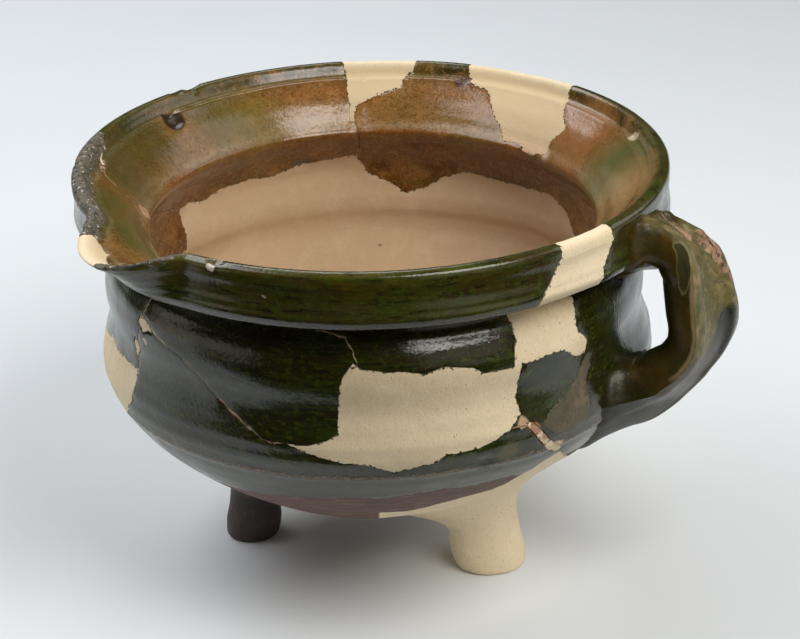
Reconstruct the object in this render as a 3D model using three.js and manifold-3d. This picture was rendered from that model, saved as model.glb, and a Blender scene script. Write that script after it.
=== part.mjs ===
// A mended three-legged cooking jug: a thrown, lead-glazed earthenware pot with a flaring
// collared rim, a pulled spout, an ear-shaped strap handle and three short feet.
// The pot was put together again from its sherds, and plaster fills the places of the lost ones.
// Units are millimetres, +Z is up and the feet stand on z = 0.
// Azimuths are in degrees, counted from +X towards +Y.

import * as THREE from 'three';
import { mergeVertices } from 'three/addons/utils/BufferGeometryUtils.js';
import Module from 'manifold-3d';

const wasm = await Module();
wasm.setup();

// Driving dimensions of the thrown wall
const rimHeight = 151.7;
const collarRadius = 113.2;
const collarHeight = 22.2;
const collarDepth = 16;
const bellyRadius = 104.2;
const bellyHeight = 84;
const baseClearance = 15.5;
const wallThickness = 6.6;
const baseThickness = 8;
const bodyRoundnessShare = 1.5;
// The lid seat inside the rim: from the collar's edge in to the sharp ridge, and down to it
const seatWidth = 26.6;
const seatDepth = 22.8;

const neckRadius = collarRadius - collarDepth;
const neckHeight = rimHeight - collarHeight;
const ridgeRadius = collarRadius - seatWidth;
const ridgeHeight = rimHeight - seatDepth;

// How the wheel-round form was pressed out of true when the rim was pulled and fired
const rimSqueeze = 6.6;
const rimDropSide = 1.1;
const rimDropBack = 2.8;
const ridgeDropShare = 0.6;
const squeezeStartShare = 0.43;
const dropStartShare = 0.8;
const pressEndShare = 0.68;

// The spout, pulled outwards by a finger
const spoutReach = 24;
const spoutAzimuth = 229;
const spoutLeftAngle = 24;
const spoutRightAngle = 9.5;
const spoutFadeShare = 1.3;
const collarTuck = 3.5;
const tuckAzimuth = 214;
const tuckAngle = 34;

// The strap handle
const handleAzimuth = -27;
const handleStandout = 28;
const strapWidth = 37;
const strapThickness = 12;
const strapDishShare = 0.24;

// The feet: the sole's centre, the centre under the base, and their sizes
const footHeight = 36;
const plasterFootRadius = 14;
const clayFootRadius = 10.6;
const soleRounding = 2;
const lutingSlopeShare = 0.55;
const lutingStartShare = 0.2;
const lutingEndShare = 0.65;
const rightFoot = { azimuth: -34, reach: 46.5, topAzimuth: -38, topReach: 42, flare: 1 };
const leftFoot = { azimuth: 175.5, reach: 50, topAzimuth: 177, topReach: 46, flare: 0.5 };
const backFoot = { azimuth: 70, reach: 49, topAzimuth: 70, topReach: 45, flare: 0.5 };

// The glued joints, and the fineness of the round forms
const jointGap = 0.3;
const wallSegmentCount = 48;
const footSegmentCount = 18;
const bodyStepCount = 6;
const spoutCrowdingShare = 0.4;
const outlineStepAngle = 8;

// Distances from the pot's axis at which a break surface has its rows of points
const breakReaches = [400, 150, 70, 1];

// Outlines as shares. The shoulder runs from the belly (0, 0) to the neck groove (1, 1):
// first the share of the radius lost, then the share of the height gained.
const shoulderShares = [
  [0.17, 0.15], [0.34, 0.31], [0.11, 0.59], [0.26, 0.73], [0.63, 0.85], [0.97, 0.93],
];
// The inner wall follows the shoulder up to its third point, then runs in under the ridge:
// shares of the way from the ridge out to the inner wall, and down to it.
const innerShoulderCount = 3;
const underRidgeShares = [[0.5, 0.42], [0.07, 0.15]];
// The collar: shares of its depth beyond the neck and of its height from groove to crest.
const collarShares = [
  [0.18, 0.08], [0.92, 0.15], [1, 0.24], [0.95, 0.6], [0.99, 0.81], [0.95, 0.94], [0.84, 1],
];
// The inner rim with its lid seat: shares of the flange from the ridge to the collar's edge,
// and of the height from the ridge to the crest.
const flangeShares = [[0.77, 0.9], [0.69, 0.77], [0.55, 0.72], [0.31, 0.47], [0.11, 0.15]];

// Break lines on the outer wall: [azimuth, level]. The level counts up the wall: 0 is under the base,
// 1 at the belly, 2 in the neck's groove and 3 on the crest of the rim.
const bellyLevel = 1;
const rimLevel = 3;
const overRimShare = 3.8;
const frontFillLine = [
  [313.5, overRimShare], [302, overRimShare], [301.8, 3], [301.4, 2.8565], [300.1, 2.5832],
  [298.3, 2.385], [296.8, 2.1117], [294.5, 1.9511], [295, 1.8644], [295.2, 1.7744], [294.5, 1.5544],
  [288.9, 1.5677], [286.4, 1.6211], [280.8, 1.6511], [278.5, 1.6277], [273.9, 1.6477], [269.8, 1.6577],
  [266.7, 1.6744], [265.3, 1.7177], [263.9, 1.6377], [263, 1.4544], [262.3, 1.1676], [260.3, 1.1176],
  [257, 1.0809], [253, 1.0776], [257.9, 1.0076], [262.6, 0.9674], [266.6, 0.9563], [271.7, 0.8987],
  [276.2, 0.9297], [279.6, 0.9452], [281.6, 0.9807], [286.9, 0.9873], [290.5, 1.0109], [293.9, 1.0776],
  [296.3, 1.1643], [295.5, 1.3043], [296.1, 1.471], [296.2, 1.5577], [299.1, 1.556], [302.5, 1.5677],
  [305.6, 1.561], [309.9, 1.4544], [312.3, 1.4544], [312.5, 1.551], [309.6, 1.6977], [311.5, 1.8878],
  [311, 2.1117], [311.8, 2.4055], [313.5, 2.5763], [314.6, 2.7813], [313.8, 3],
];
const backLeftFillLine = [
  [80, overRimShare], [95.5, overRimShare], [94.5, 2.6993], [94.6, 2.5353], [94.2, 2.3508], [94.3, 2.1458],
  [93.1, 2.1458], [93, 2.2483], [92.3, 2.4055], [88.7, 2.5012], [86.1, 2.5695], [82.6, 2.6378],
  [82.4, 2.7198], [80.3, 2.8633],
];
const backRightFillLine = [
  [44, overRimShare], [69.5, overRimShare], [69, 2.8428], [67.9, 2.7403], [63.7, 2.6925], [60.5, 2.3782],
  [57.6, 2.221], [55.3, 2.016], [50.4, 2.0502], [47.5, 1.9745], [45, 1.9545], [43.6, 1.9878],
  [39.9, 2.0433], [40.2, 2.2347], [37.8, 2.4807], [41.1, 2.6515], [43.6, 2.8497],
];
const spoutTipFillLine = [
  [229, overRimShare], [217.6, overRimShare], [217.4, 2.8975], [219.5, 2.8087], [222.5, 2.7677],
  [225.5, 2.8292], [228.5, 2.8975],
];
const upperCrackFillLine = [
  [216.4, 1.6611], [218.6, 1.6044], [222.4, 1.6277], [221.8, 1.6777], [219.2, 1.7244], [217, 1.7144],
];
const lowerCrackFillLine = [
  [213.4, 1.381], [214.2, 1.3377], [216.3, 1.4077], [216.6, 1.481], [215.2, 1.5277], [214, 1.471],
];
const rootEdgeFillLine = [
  [296.8, 1.0943], [298.9, 1.0709], [302.3, 0.9475], [305.2, 0.8877], [308.4, 0.8134], [307.4, 0.7869],
  [303.9, 0.8456], [301.1, 0.9197], [298, 1.0309],
];
const spoutCrack = [
  [166, overRimShare], [167.2, 2.9658], [167.1, 2.8087], [172.4, 2.7677], [178, 2.754], [180.5, 2.5422],
  [180.4, 2.3577], [177.2, 2.1527], [176.5, 1.9211],
];
const spoutBreak = [
  [228, 1.9478], [226.5, 2.2142], [228, 2.5217], [226.5, 2.8292], [227, overRimShare],
];
const grooveBreak = [[228, 1.9478], [240, 1.9611], [252.5, 1.9745], [261.7, 1.9245]];
const frontCrack = [[261.7, 1.9245], [264.3, 1.8844], [265.5, 1.8011], [266.2, 1.7044]];
const slantCrack = [
  [217.7, 1.6411], [221.6, 1.6544], [226.5, 1.6144], [229.3, 1.581], [231.1, 1.5544], [234.1, 1.471],
  [235.2, 1.441], [239.5, 1.321], [241.3, 1.2593], [243.9, 1.2043], [248.3, 1.0976], [253, 1.0776],
];
const shoulderCrack = [[219.5, 1.9211], [218.2, 1.7544], [217.7, 1.6411]];
const bellyCrack = [[217.7, 1.6411], [215.8, 1.4977], [215, 1.421], [214.6, 1.261]];
const backCrack = [[93.3, 2.18], [92.7, 1.9211], [92.5, 1.8211], [93, 1.7111]];
const backLeftLowerEdge = [
  [93, 1.7111], [95.3, 1.7177], [102.9, 1.6777], [113.4, 1.6077], [123.7, 1.6311], [132.1, 1.5677],
  [136.6, 1.6077], [140.4, 1.5877], [150, 1.6877], [163, 1.7544], [176, 1.7878], [176.5, 1.9211],
];
const backRightLowerEdge = [
  [43.9, 1.5677], [53.5, 1.5644], [63.2, 1.5677], [68.5, 1.5944], [73.6, 1.521], [77.6, 1.4143],
  [82, 1.3493], [86.7, 1.461], [90.8, 1.5644], [93, 1.7111],
];
const rightCrack = [[403.9, 1.5677], [404, 1.7544], [404.5, 1.9878]];
const shoulderSherdLine = [
  [140.4, 1.5877], [140, 1.401], [139.7, 1.221], [150, 1.0709], [165, 1.0876], [183.7, 1.1543],
  [196.3, 1.251], [204.3, 1.2476], [209.6, 1.2476], ...bellyCrack.toReversed(),
  ...shoulderCrack.toReversed().slice(1), [205, 1.9545], [190, 1.9478], [176.5, 1.9211], [176, 1.7878],
  [163, 1.7544], [150, 1.6877],
];
const rootBreak = [
  [293.9, 1.0776], [297.3, 1.0709], [300, 1.0043], [303, 0.8921], [306, 0.8367], [308.9, 0.7792],
];
const handleLowerEdge = [
  [308.9, 0.7792], [318, 0.6153], [328, 0.5045], [338, 0.416], [346, 0.2166], [350, 0.0838],
  [358, 0.0838], [364, 0.2609], [368, 0.5045], [374, 0.7481], [386, 1.0043], [394.7, 1.3077],
  [398.4, 1.4677],
];
const baseFillLine = [
  [268, 0.3097], [268, 0.2166], [272, 0.1391], [285, 0.0838], [300, 0.0616], [330, 0.0616],
  [352, 0.0838], [356, 0.2166], [350, 0.5488], [330, 0.7039], [312, 0.8146], [308.9, 0.7792],
  [304.6, 0.7265], [301.1, 0.6613], [297, 0.5591], [289.7, 0.5504], [283.4, 0.5007], [276.5, 0.4482],
  [268.9, 0.4483],
];
const lowerSherdLine = [
  [0, 0.0838], [60, 0.0838], [120, 0.0948], [140, 0.1502], [150, 0.3274], [156, 0.4824], [165, 0.5156],
  [175, 0.5488], [184, 0.5931], [195, 0.6706], [204, 0.7924], [212.8, 0.9918], [214.2, 1.1543],
  ...bellyCrack.toReversed(), ...slantCrack.slice(1), [257, 1.0543], [262, 1.0709], [266, 1.1543],
  [290, 1.1543], [293.9, 1.0776], [300, 1.1543], [309, 0.881], [311, 0.6596], [313, 0.4381],
  [316, 0.2166], [320, 0.1281], [357, 0.1281],
];
// Outlines of the sherds between those lines. Where a sherd meets a fill that is cut before it,
// its outline runs on into the fill.
const handleSherdLine = [
  [304, overRimShare], [304, 1.6877], [298, 1.6044], [295.4, 1.5677], [294.5, 1.4877], [291, 1.1543],
  ...rootBreak, ...handleLowerEdge.slice(1), ...rightCrack, [408, 2.3167], [412, 3],
  [412, overRimShare],
];
const backSherdLine = [
  [60, overRimShare], [55, 2.3167], [48, 2.0433], [44.5, 1.9878], [44, 1.7544], ...backRightLowerEdge,
  ...backCrack.toReversed().slice(1), [93.6, 2.3167], [93.2, 2.4192], [91, 2.6242], [88, overRimShare],
];
const backLeftSherdLine = [
  [90, overRimShare], [91, 2.6242], [93.2, 2.4192], [93.6, 2.3167], ...backCrack,
  ...backLeftLowerEdge.slice(1), ...spoutCrack.toReversed().slice(1),
];
const spoutSherdLine = [
  ...spoutCrack, [190, 1.9478], [205, 1.9545], [219.5, 1.9211], ...spoutBreak,
];
const frontRimSherdLine = [
  ...spoutBreak.toReversed(), ...grooveBreak.slice(1), ...frontCrack.slice(1), [268, 1.5544],
  [292, 1.4877], [294.5, 1.4877], [295.4, 1.5677], [298, 1.6211], [303, 2.3167], [304, overRimShare],
];
const frontBodySherdLine = [
  [219.5, 1.9211], ...shoulderCrack.slice(1), ...slantCrack.slice(1), [258, 1.0443], [268, 1.0543],
  [269, 1.6211], ...frontCrack.toReversed(), ...grooveBreak.toReversed().slice(1),
];

const radians = THREE.MathUtils.degToRad;

const blend = THREE.MathUtils.smoothstep;

function levelHeight(level) {
  const heights = [baseClearance, bellyHeight, neckHeight, rimHeight];
  const at = THREE.MathUtils.clamp(Math.floor(level), 0, heights.length - 2);
  return heights[at] + (heights[at + 1] - heights[at]) * (level - at);
}

// The lower body's outline, from under the middle of the base up to the belly
function bowlArc(radius, bottom, steps) {
  const points = [];
  const power = 2 / bodyRoundnessShare;
  for (let step = 0; step <= steps; step += 1) {
    const turn = (Math.PI / 2) * (step / steps);
    const out = radius * Math.sin(turn) ** power;
    const down = (bellyHeight - bottom) * Math.cos(turn) ** power;
    points.push([step === 0 ? 0 : out, bellyHeight - (step === steps ? 0 : down)]);
  }
  return points;
}

function outerOutline() {
  const points = bowlArc(bellyRadius, baseClearance, bodyStepCount);
  for (const [inwards, upwards] of shoulderShares) {
    const radius = bellyRadius + (neckRadius - bellyRadius) * inwards;
    points.push([radius, bellyHeight + (neckHeight - bellyHeight) * upwards]);
  }
  points.push([neckRadius, neckHeight]);
  for (const [outwards, upwards] of collarShares) {
    const radius = neckRadius + (collarRadius - neckRadius) * outwards;
    points.push([radius, neckHeight + (rimHeight - neckHeight) * upwards]);
  }
  return points;
}

function innerOutline() {
  const points = [];
  for (const [outwards, upwards] of flangeShares) {
    const radius = ridgeRadius + (collarRadius - ridgeRadius) * outwards;
    points.push([radius, ridgeHeight + (rimHeight - ridgeHeight) * upwards]);
  }
  points.push([ridgeRadius, ridgeHeight]);
  const shoulder = outerOutline().slice(bodyStepCount + 1, bodyStepCount + 1 + innerShoulderCount);
  const [topRadius, topHeight] = shoulder[innerShoulderCount - 1];
  for (const [outwards, downwards] of [...underRidgeShares].reverse()) {
    const radius = ridgeRadius + (topRadius - wallThickness - ridgeRadius) * outwards;
    points.push([radius, ridgeHeight + (topHeight - ridgeHeight) * downwards]);
  }
  for (const [radius, height] of shoulder.reverse()) {
    points.push([radius - wallThickness, height]);
  }
  const bowl = bowlArc(bellyRadius - wallThickness, baseClearance + baseThickness, bodyStepCount);
  return points.concat(bowl.reverse());
}

// How far the spout pulls the lip out at an azimuth
function spoutPull(azimuth) {
  const away = THREE.MathUtils.euclideanModulo(azimuth - spoutAzimuth + 180, 360) - 180;
  const spread = away < 0 ? spoutLeftAngle : spoutRightAngle;
  const share = Math.min(Math.abs(away) / spread, 1);
  return spoutReach * Math.cos((Math.PI / 2) * share) ** 2;
}

function collarPull(azimuth) {
  const away = THREE.MathUtils.euclideanModulo(azimuth - tuckAzimuth + 180, 360) - 180;
  const share = Math.min(Math.abs(away) / tuckAngle, 1);
  return collarTuck * Math.cos((Math.PI / 2) * share) ** 2;
}

// The heights between which the pressing sets in
const squeezeStart = levelHeight(squeezeStartShare);
const dropStart = levelHeight(dropStartShare);
const pressEnd = levelHeight(1 + pressEndShare);

// Moves a point of the wheel-round form to its place on the pressed and pulled pot
function pressedPoint(radius, height, azimuth) {
  const turn = radians(azimuth);
  const outwards = THREE.MathUtils.clamp((radius - ridgeRadius) / (collarRadius - ridgeRadius), 0, 1);
  const rimShare = Math.max((height - ridgeHeight) / (rimHeight - ridgeHeight), 0);
  const drop = blend(height, dropStart, pressEnd) * (ridgeDropShare + (1 - ridgeDropShare) * outwards);
  const pull = spoutPull(azimuth) * rimShare ** spoutFadeShare;
  const tuck = height > ridgeHeight ? collarPull(azimuth) * outwards ** 2 * (1 - rimShare) : 0;
  let out = radius;
  if (radius > 0) {
    out += pull - tuck - rimSqueeze * blend(height, squeezeStart, pressEnd) * Math.cos(2 * turn);
  }
  const lean = rimDropSide * Math.cos(turn) + rimDropBack * Math.sin(turn);
  return new THREE.Vector3(out * Math.cos(turn), out * Math.sin(turn), height - lean * drop);
}

// Closed solids for the cutting work
function solidFrom(geometry) {
  geometry.deleteAttribute('normal');
  geometry.deleteAttribute('uv');
  const merged = mergeVertices(geometry);
  const corners = [];
  const index = merged.index.array;
  for (let at = 0; at < index.length; at += 3) {
    const [a, b, c] = [index[at], index[at + 1], index[at + 2]];
    if (a !== b && b !== c && c !== a) corners.push(a, b, c);
  }
  const vertProperties = new Float32Array(merged.attributes.position.array);
  return new wasm.Manifold(new wasm.Mesh({ numProp: 3, vertProperties, triVerts: new Uint32Array(corners) }));
}

function solidOf(points, corners) {
  const geometry = new THREE.BufferGeometry();
  geometry.setFromPoints(points);
  geometry.setIndex(corners);
  return solidFrom(geometry);
}

// A form turned on the wheel from its outline, then pressed and pulled into the real shape.
// The segments crowd towards the spout, where the rim bends most.
function turnedSolid(outline) {
  const profile = outline.map(([radius, height]) => new THREE.Vector2(radius, height));
  const geometry = new THREE.LatheGeometry(profile, wallSegmentCount);
  const place = geometry.attributes.position;
  for (let at = 0; at < place.count; at += 1) {
    const radius = Math.hypot(place.getX(at), place.getZ(at));
    const turn = Math.atan2(place.getX(at), place.getZ(at));
    const crowded = turn - spoutCrowdingShare * Math.sin(turn - radians(spoutAzimuth));
    const point = pressedPoint(radius, place.getY(at), THREE.MathUtils.radToDeg(crowded));
    place.setXYZ(at, point.x, point.y, point.z);
  }
  return solidFrom(geometry);
}

// The pot's whole outside with its hollow filled, one joint gap larger than the pot:
// what is luted on to the pot is cut off by this form.
function luteForm() {
  const outline = outerOutline();
  const grown = outline.map(([radius, height], at) => {
    const [lastRadius, lastHeight] = outline[Math.max(at - 1, 0)];
    const [nextRadius, nextHeight] = outline[Math.min(at + 1, outline.length - 1)];
    const along = new THREE.Vector2(nextRadius - lastRadius, nextHeight - lastHeight).normalize();
    return [at === 0 ? 0 : radius + along.y * jointGap, height - along.x * jointGap];
  });
  grown.push([0, rimHeight + jointGap]);
  return turnedSolid(grown);
}

// Break surfaces. From each point of a break line the break runs straight through the wall:
// level above the belly, and from the middle of the belly's height below it.
function outerRadiusAt(height) {
  const down = THREE.MathUtils.clamp((bellyHeight - height) / (bellyHeight - baseClearance), 0, 1);
  return bellyRadius * (1 - down ** bodyRoundnessShare) ** (1 / bodyRoundnessShare);
}

function ruledPoint(azimuth, height, distance) {
  const turn = radians(azimuth);
  const dip = height >= bellyHeight ? 0 : Math.atan2(bellyHeight - height, outerRadiusAt(height));
  const out = distance * Math.cos(dip);
  const level = Math.max(height, bellyHeight) - distance * Math.sin(dip);
  return new THREE.Vector3(out * Math.cos(turn), out * Math.sin(turn), level);
}

// The break line in the flat: x runs round the belly and y is the height
function flatLine(line, closingTurn = 0) {
  const points = [];
  line.forEach(([azimuth, level], at) => {
    const height = levelHeight(level);
    const rise = levelHeight(line[(at + 1) % line.length][1]) - height;
    const nextAzimuth = line[(at + 1) % line.length][0] + (at + 1 === line.length ? closingTurn : 0);
    const steps = Math.max(1, Math.ceil(Math.abs(nextAzimuth - azimuth) / outlineStepAngle));
    for (let step = 0; step < steps; step += 1) {
      const along = step / steps;
      const turn = radians(azimuth + (nextAzimuth - azimuth) * along);
      points.push(new THREE.Vector2(turn * bellyRadius, height + rise * along));
    }
  });
  return points;
}

function grownLine(points, gap) {
  const side = Math.sign(THREE.ShapeUtils.area(points));
  return points.map((point, at) => {
    const last = points[(at + points.length - 1) % points.length];
    const next = points[(at + 1) % points.length];
    const before = point.clone().sub(last).normalize();
    const after = next.clone().sub(point).normalize();
    const along = before.clone().add(after).normalize();
    const stretch = Math.min(1 / Math.max(along.dot(after), Number.EPSILON), 2);
    const shift = side * gap * stretch;
    return new THREE.Vector2(point.x + along.y * shift, point.y - along.x * shift);
  });
}

function ruledRows(outline) {
  return breakReaches.flatMap((distance) => outline.map((point) => {
    return ruledPoint(THREE.MathUtils.radToDeg(point.x / bellyRadius), point.y, distance);
  }));
}

// The triangles of a break surface along a line. The edge across each pair of them goes by
// the azimuths and not by the line's direction, so both sides of a break agree.
function breakFacets(outline) {
  const count = outline.length;
  const corners = [];
  for (let at = 0; at < count; at += 1) {
    const next = (at + 1) % count;
    const ahead = outline[next].x - outline[at].x || outline[next].y - outline[at].y;
    for (let row = 0; row < breakReaches.length - 1; row += 1) {
      const [a, b] = [row * count + at, row * count + next];
      if (ahead > 0) corners.push(a, a + count, b + count, a, b + count, b);
      else corners.push(a, a + count, b, a + count, b + count, b);
    }
  }
  return corners;
}

// The wedge of space that a closed break line marks off, from the pot's axis outwards
function breakWedge(line, gap) {
  let outline = flatLine(line);
  if (THREE.ShapeUtils.area(outline) < 0) outline.reverse();
  outline = grownLine(outline, gap);
  const core = (breakReaches.length - 1) * outline.length;
  const corners = breakFacets(outline);
  for (const [a, b, c] of THREE.ShapeUtils.triangulateShape(outline, [])) {
    corners.push(a, b, c, core + a, core + c, core + b);
  }
  return solidOf(ruledRows(outline), corners);
}

// The space under a break line that runs all the way round the pot
function breakBowl(line, gap) {
  const outline = flatLine(line, 360).map((point) => new THREE.Vector2(point.x, point.y + gap));
  outline.reverse();
  const count = outline.length;
  const core = (breakReaches.length - 1) * count;
  const points = ruledRows(outline);
  points.push(new THREE.Vector3(0, 0, bellyHeight - breakReaches.at(0)));
  points.push(new THREE.Vector3(0, 0, bellyHeight - breakReaches.at(-1)));
  const corners = breakFacets(outline);
  for (let at = 0; at < count; at += 1) {
    const next = (at + 1) % count;
    corners.push(next, core + count, at, core + at, core + count + 1, core + next);
  }
  return solidOf(points, corners);
}

// The strap handle, swept down a spine that leaves the collar and dives into the belly.
// Each station: the share of the handle's standout that the spine is clear of the wall there, its
// level, shares of the strap's width on the side of the fill and on the far side, the share of its
// thickness, how much of its dish is left before it wraps round the pot, and its twist in degrees.
const strapStations = [
  [-0.467, 2.52, 0.6, 0.5, 1.5, 0, 14], [-0.178, 2.6, 0.58, 0.5, 1.45, 0.2, 18],
  [0.09, 2.6, 0.56, 0.47, 1.3, 0.6, 20], [0.34, 2.45, 0.54, 0.44, 1.2, 1, 17],
  [0.56, 2.19, 0.52, 0.46, 1.15, 1, 10], [0.72, 1.92, 0.5, 0.5, 1.15, 1, 3],
  [0.825, 1.704, 0.5, 0.52, 1.15, 1, -2], [0.9, 1.518, 0.5, 0.52, 1.15, 0.9, -4],
  [0.9, 1.34, 0.5, 0.52, 1.15, 0.8, -6], [0.8, 1.16, 0.51, 0.52, 1.2, 0.6, -8],
  [0.625, 0.99, 0.56, 0.5, 1.35, 0.4, -11], [0.475, 0.88, 0.66, 0.54, 1.45, 0.2, -16],
  [0.37, 0.79, 0.8, 0.6, 1.55, 0, -20], [0.28, 0.7, 0.9, 0.66, 1.6, 0, -21],
  [0.15, 0.62, 0.9, 0.68, 1.5, 0, -18], [-0.06, 0.56, 0.8, 0.64, 1.3, 0, -10],
  [-0.33, 0.5, 0.6, 0.5, 1, 0, 0],
];
// The strap's section: shares of the half width, of the thickness, and of the dish's depth
const strapSection = [
  [-0.97, 0.06, 0], [-0.8, 0, 0], [-0.45, 0, 0.7], [0, 0, 1], [0.45, 0, 0.7], [0.8, 0, 0],
  [0.97, 0.06, 0], [1, 0.3, 0], [0.93, 0.75, 0], [0.72, 0.98, 0], [0, 1, 0], [-0.72, 0.98, 0],
  [-0.93, 0.75, 0], [-1, 0.3, 0],
];

function strapSolid() {
  const turn = radians(handleAzimuth);
  const outwards = new THREE.Vector3(Math.cos(turn), Math.sin(turn), 0);
  const across = new THREE.Vector3(-Math.sin(turn), Math.cos(turn), 0);
  const up = new THREE.Vector3(0, 0, 1);
  const spine = strapStations.map(([clear, level]) => {
    const height = levelHeight(level);
    const flared = THREE.MathUtils.mapLinear(level, bellyLevel, rimLevel, bellyRadius, collarRadius);
    const reach = (level > bellyLevel ? flared : outerRadiusAt(height)) + clear * handleStandout;
    return outwards.clone().multiplyScalar(reach).addScaledVector(up, height);
  });
  const points = [];
  strapStations.forEach(([, , nearShare, farShare, depthShare, dishLeft, twist], at) => {
    const behind = spine[Math.max(at - 1, 0)];
    const along = spine[Math.min(at + 1, spine.length - 1)].clone().sub(behind).normalize();
    const face = new THREE.Vector3().crossVectors(along, across).normalize();
    const width = across.clone().multiplyScalar(Math.cos(radians(twist)));
    width.addScaledVector(face, -Math.sin(radians(twist)));
    const depth = new THREE.Vector3().crossVectors(width, along).normalize();
    for (const [side, inwards, dip] of strapSection) {
      const beside = side * strapWidth * (side < 0 ? nearShare : farShare);
      const wrapped = (1 - dishLeft) * beside ** 2 / (2 * bellyRadius);
      const sunk = wrapped + strapThickness * (inwards * depthShare + dip * dishLeft * strapDishShare);
      points.push(spine[at].clone().addScaledVector(width, beside).addScaledVector(depth, sunk));
    }
  });
  const ring = strapSection.length;
  const corners = [];
  for (let row = 0; row < spine.length - 1; row += 1) {
    for (let at = 0; at < ring; at += 1) {
      const a = row * ring + at;
      const b = row * ring + ((at + 1) % ring);
      corners.push(a, b + ring, b, a, a + ring, b + ring);
    }
  }
  const section = strapSection.map(([side, inwards, dip]) => {
    return new THREE.Vector2(side, inwards + dip * strapDishShare);
  });
  const last = (spine.length - 1) * ring;
  for (const [a, b, c] of THREE.ShapeUtils.triangulateShape(section, [])) {
    corners.push(a, b, c, last + a, last + c, last + b);
  }
  return solidOf(points, corners);
}

// A foot: shares of the sole's radius, and of the foot's height, from the sole up to its top,
// which is splayed and follows the slope of the bowl. A foot's flare is how much of the splay it has.
const footShares = [
  [0.99, 0.12], [1, 0.2], [0.93, 0.36], [0.92, 0.48], [1, 0.57], [1.18, 0.65], [1.5, 0.73],
  [1.85, 0.8], [2.2, 0.88], [2.5, 1],
];

function footSolid(soleRadius, foot) {
  const profile = [new THREE.Vector2(0, 0), new THREE.Vector2(soleRadius - soleRounding, 0)];
  for (const [outwards, upwards] of footShares) {
    const splayed = outwards > 1 ? 1 + (outwards - 1) * foot.flare : outwards;
    profile.push(new THREE.Vector2(soleRadius * splayed, footHeight * upwards));
  }
  profile.push(new THREE.Vector2(0, footHeight));
  const geometry = new THREE.LatheGeometry(profile, footSegmentCount);
  const sole = polar(foot.reach, foot.azimuth);
  const top = polar(foot.topReach, foot.topAzimuth);
  const place = geometry.attributes.position;
  for (let at = 0; at < place.count; at += 1) {
    const height = place.getY(at);
    const middle = sole.clone().lerp(top, height / footHeight);
    const [x, y] = [middle.x + place.getZ(at), middle.y + place.getX(at)];
    const outwards = Math.hypot(x, y) - middle.length();
    const slope = lutingSlopeShare * blend(height / footHeight, lutingStartShare, lutingEndShare);
    place.setXYZ(at, x, y, height + outwards * slope);
  }
  return solidFrom(geometry);
}

function polar(reach, azimuth) {
  const turn = radians(azimuth);
  return new THREE.Vector3(reach * Math.cos(turn), reach * Math.sin(turn), 0);
}

// Finishes
function finish(colour, roughness) {
  return () => new THREE.MeshStandardMaterial({ color: colour, roughness, metalness: 0 });
}

const greenGlaze = finish('#3c4322', 0.2);
const plaster = finish('#d9c9a8', 0.85);
const bareClay = finish('#3d322c', 0.8);

const jug = new THREE.Group();

function addPiece(name, solid, material) {
  const shape = solid.getMesh();
  const geometry = new THREE.BufferGeometry();
  geometry.setAttribute('position', new THREE.BufferAttribute(shape.vertProperties, 3));
  geometry.setIndex(new THREE.BufferAttribute(shape.triVerts, 1));
  geometry.computeVertexNormals();
  const mesh = new THREE.Mesh(geometry, material());
  mesh.name = name;
  jug.add(mesh);
}

// The wall is broken up in this order: small fills, large fills, then the sherds
const brokenPieces = [
  ['upper_crack_fill', upperCrackFillLine, plaster],
  ['lower_crack_fill', lowerCrackFillLine, plaster],
  ['root_edge_fill', rootEdgeFillLine, plaster],
  ['spout_tip_fill', spoutTipFillLine, plaster],
  ['front_fill', frontFillLine, plaster],
  ['back_left_rim_fill', backLeftFillLine, plaster],
  ['back_right_rim_fill', backRightFillLine, plaster],
  ['handle_sherd', handleSherdLine, greenGlaze],
  ['back_rim_sherd', backSherdLine, greenGlaze],
  ['back_left_rim_sherd', backLeftSherdLine, greenGlaze],
  ['spout_rim_sherd', spoutSherdLine, greenGlaze],
  ['front_rim_sherd', frontRimSherdLine, greenGlaze],
  ['left_shoulder_sherd', shoulderSherdLine, greenGlaze],
  ['front_body_sherd', frontBodySherdLine, greenGlaze],
  ['base_fill', baseFillLine, plaster],
];

let wall = turnedSolid([...outerOutline(), ...innerOutline()]);
for (const [name, line, material] of brokenPieces) {
  addPiece(name, wall.intersect(breakWedge(line, 0)), material);
  wall = wall.subtract(breakWedge(line, jointGap));
}
addPiece('lower_body_sherd', wall.intersect(breakBowl(lowerSherdLine, 0)), greenGlaze);
addPiece('back_body_fill', wall.subtract(breakBowl(lowerSherdLine, jointGap)), plaster);

const pot = luteForm();
addPiece('strap_handle', strapSolid().subtract(pot), greenGlaze);
addPiece('right_foot', footSolid(plasterFootRadius, rightFoot).subtract(pot), plaster);
addPiece('left_foot', footSolid(clayFootRadius, leftFoot).subtract(pot), bareClay);
addPiece('back_foot', footSolid(clayFootRadius, backFoot).subtract(pot), plaster);

// The jug stands on z = 0, with the middle of its outer box over the origin
const middle = new THREE.Box3().setFromObject(jug).getCenter(new THREE.Vector3());
jug.position.set(-middle.x, -middle.y, 0);

const part = new THREE.Group();
part.add(jug);

export default part;
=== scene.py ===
import itertools
from math import cos, pi, radians, sin

import bmesh
import bpy
import numpy as np
from mathutils import Matrix, Vector, geometry, kdtree


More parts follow.
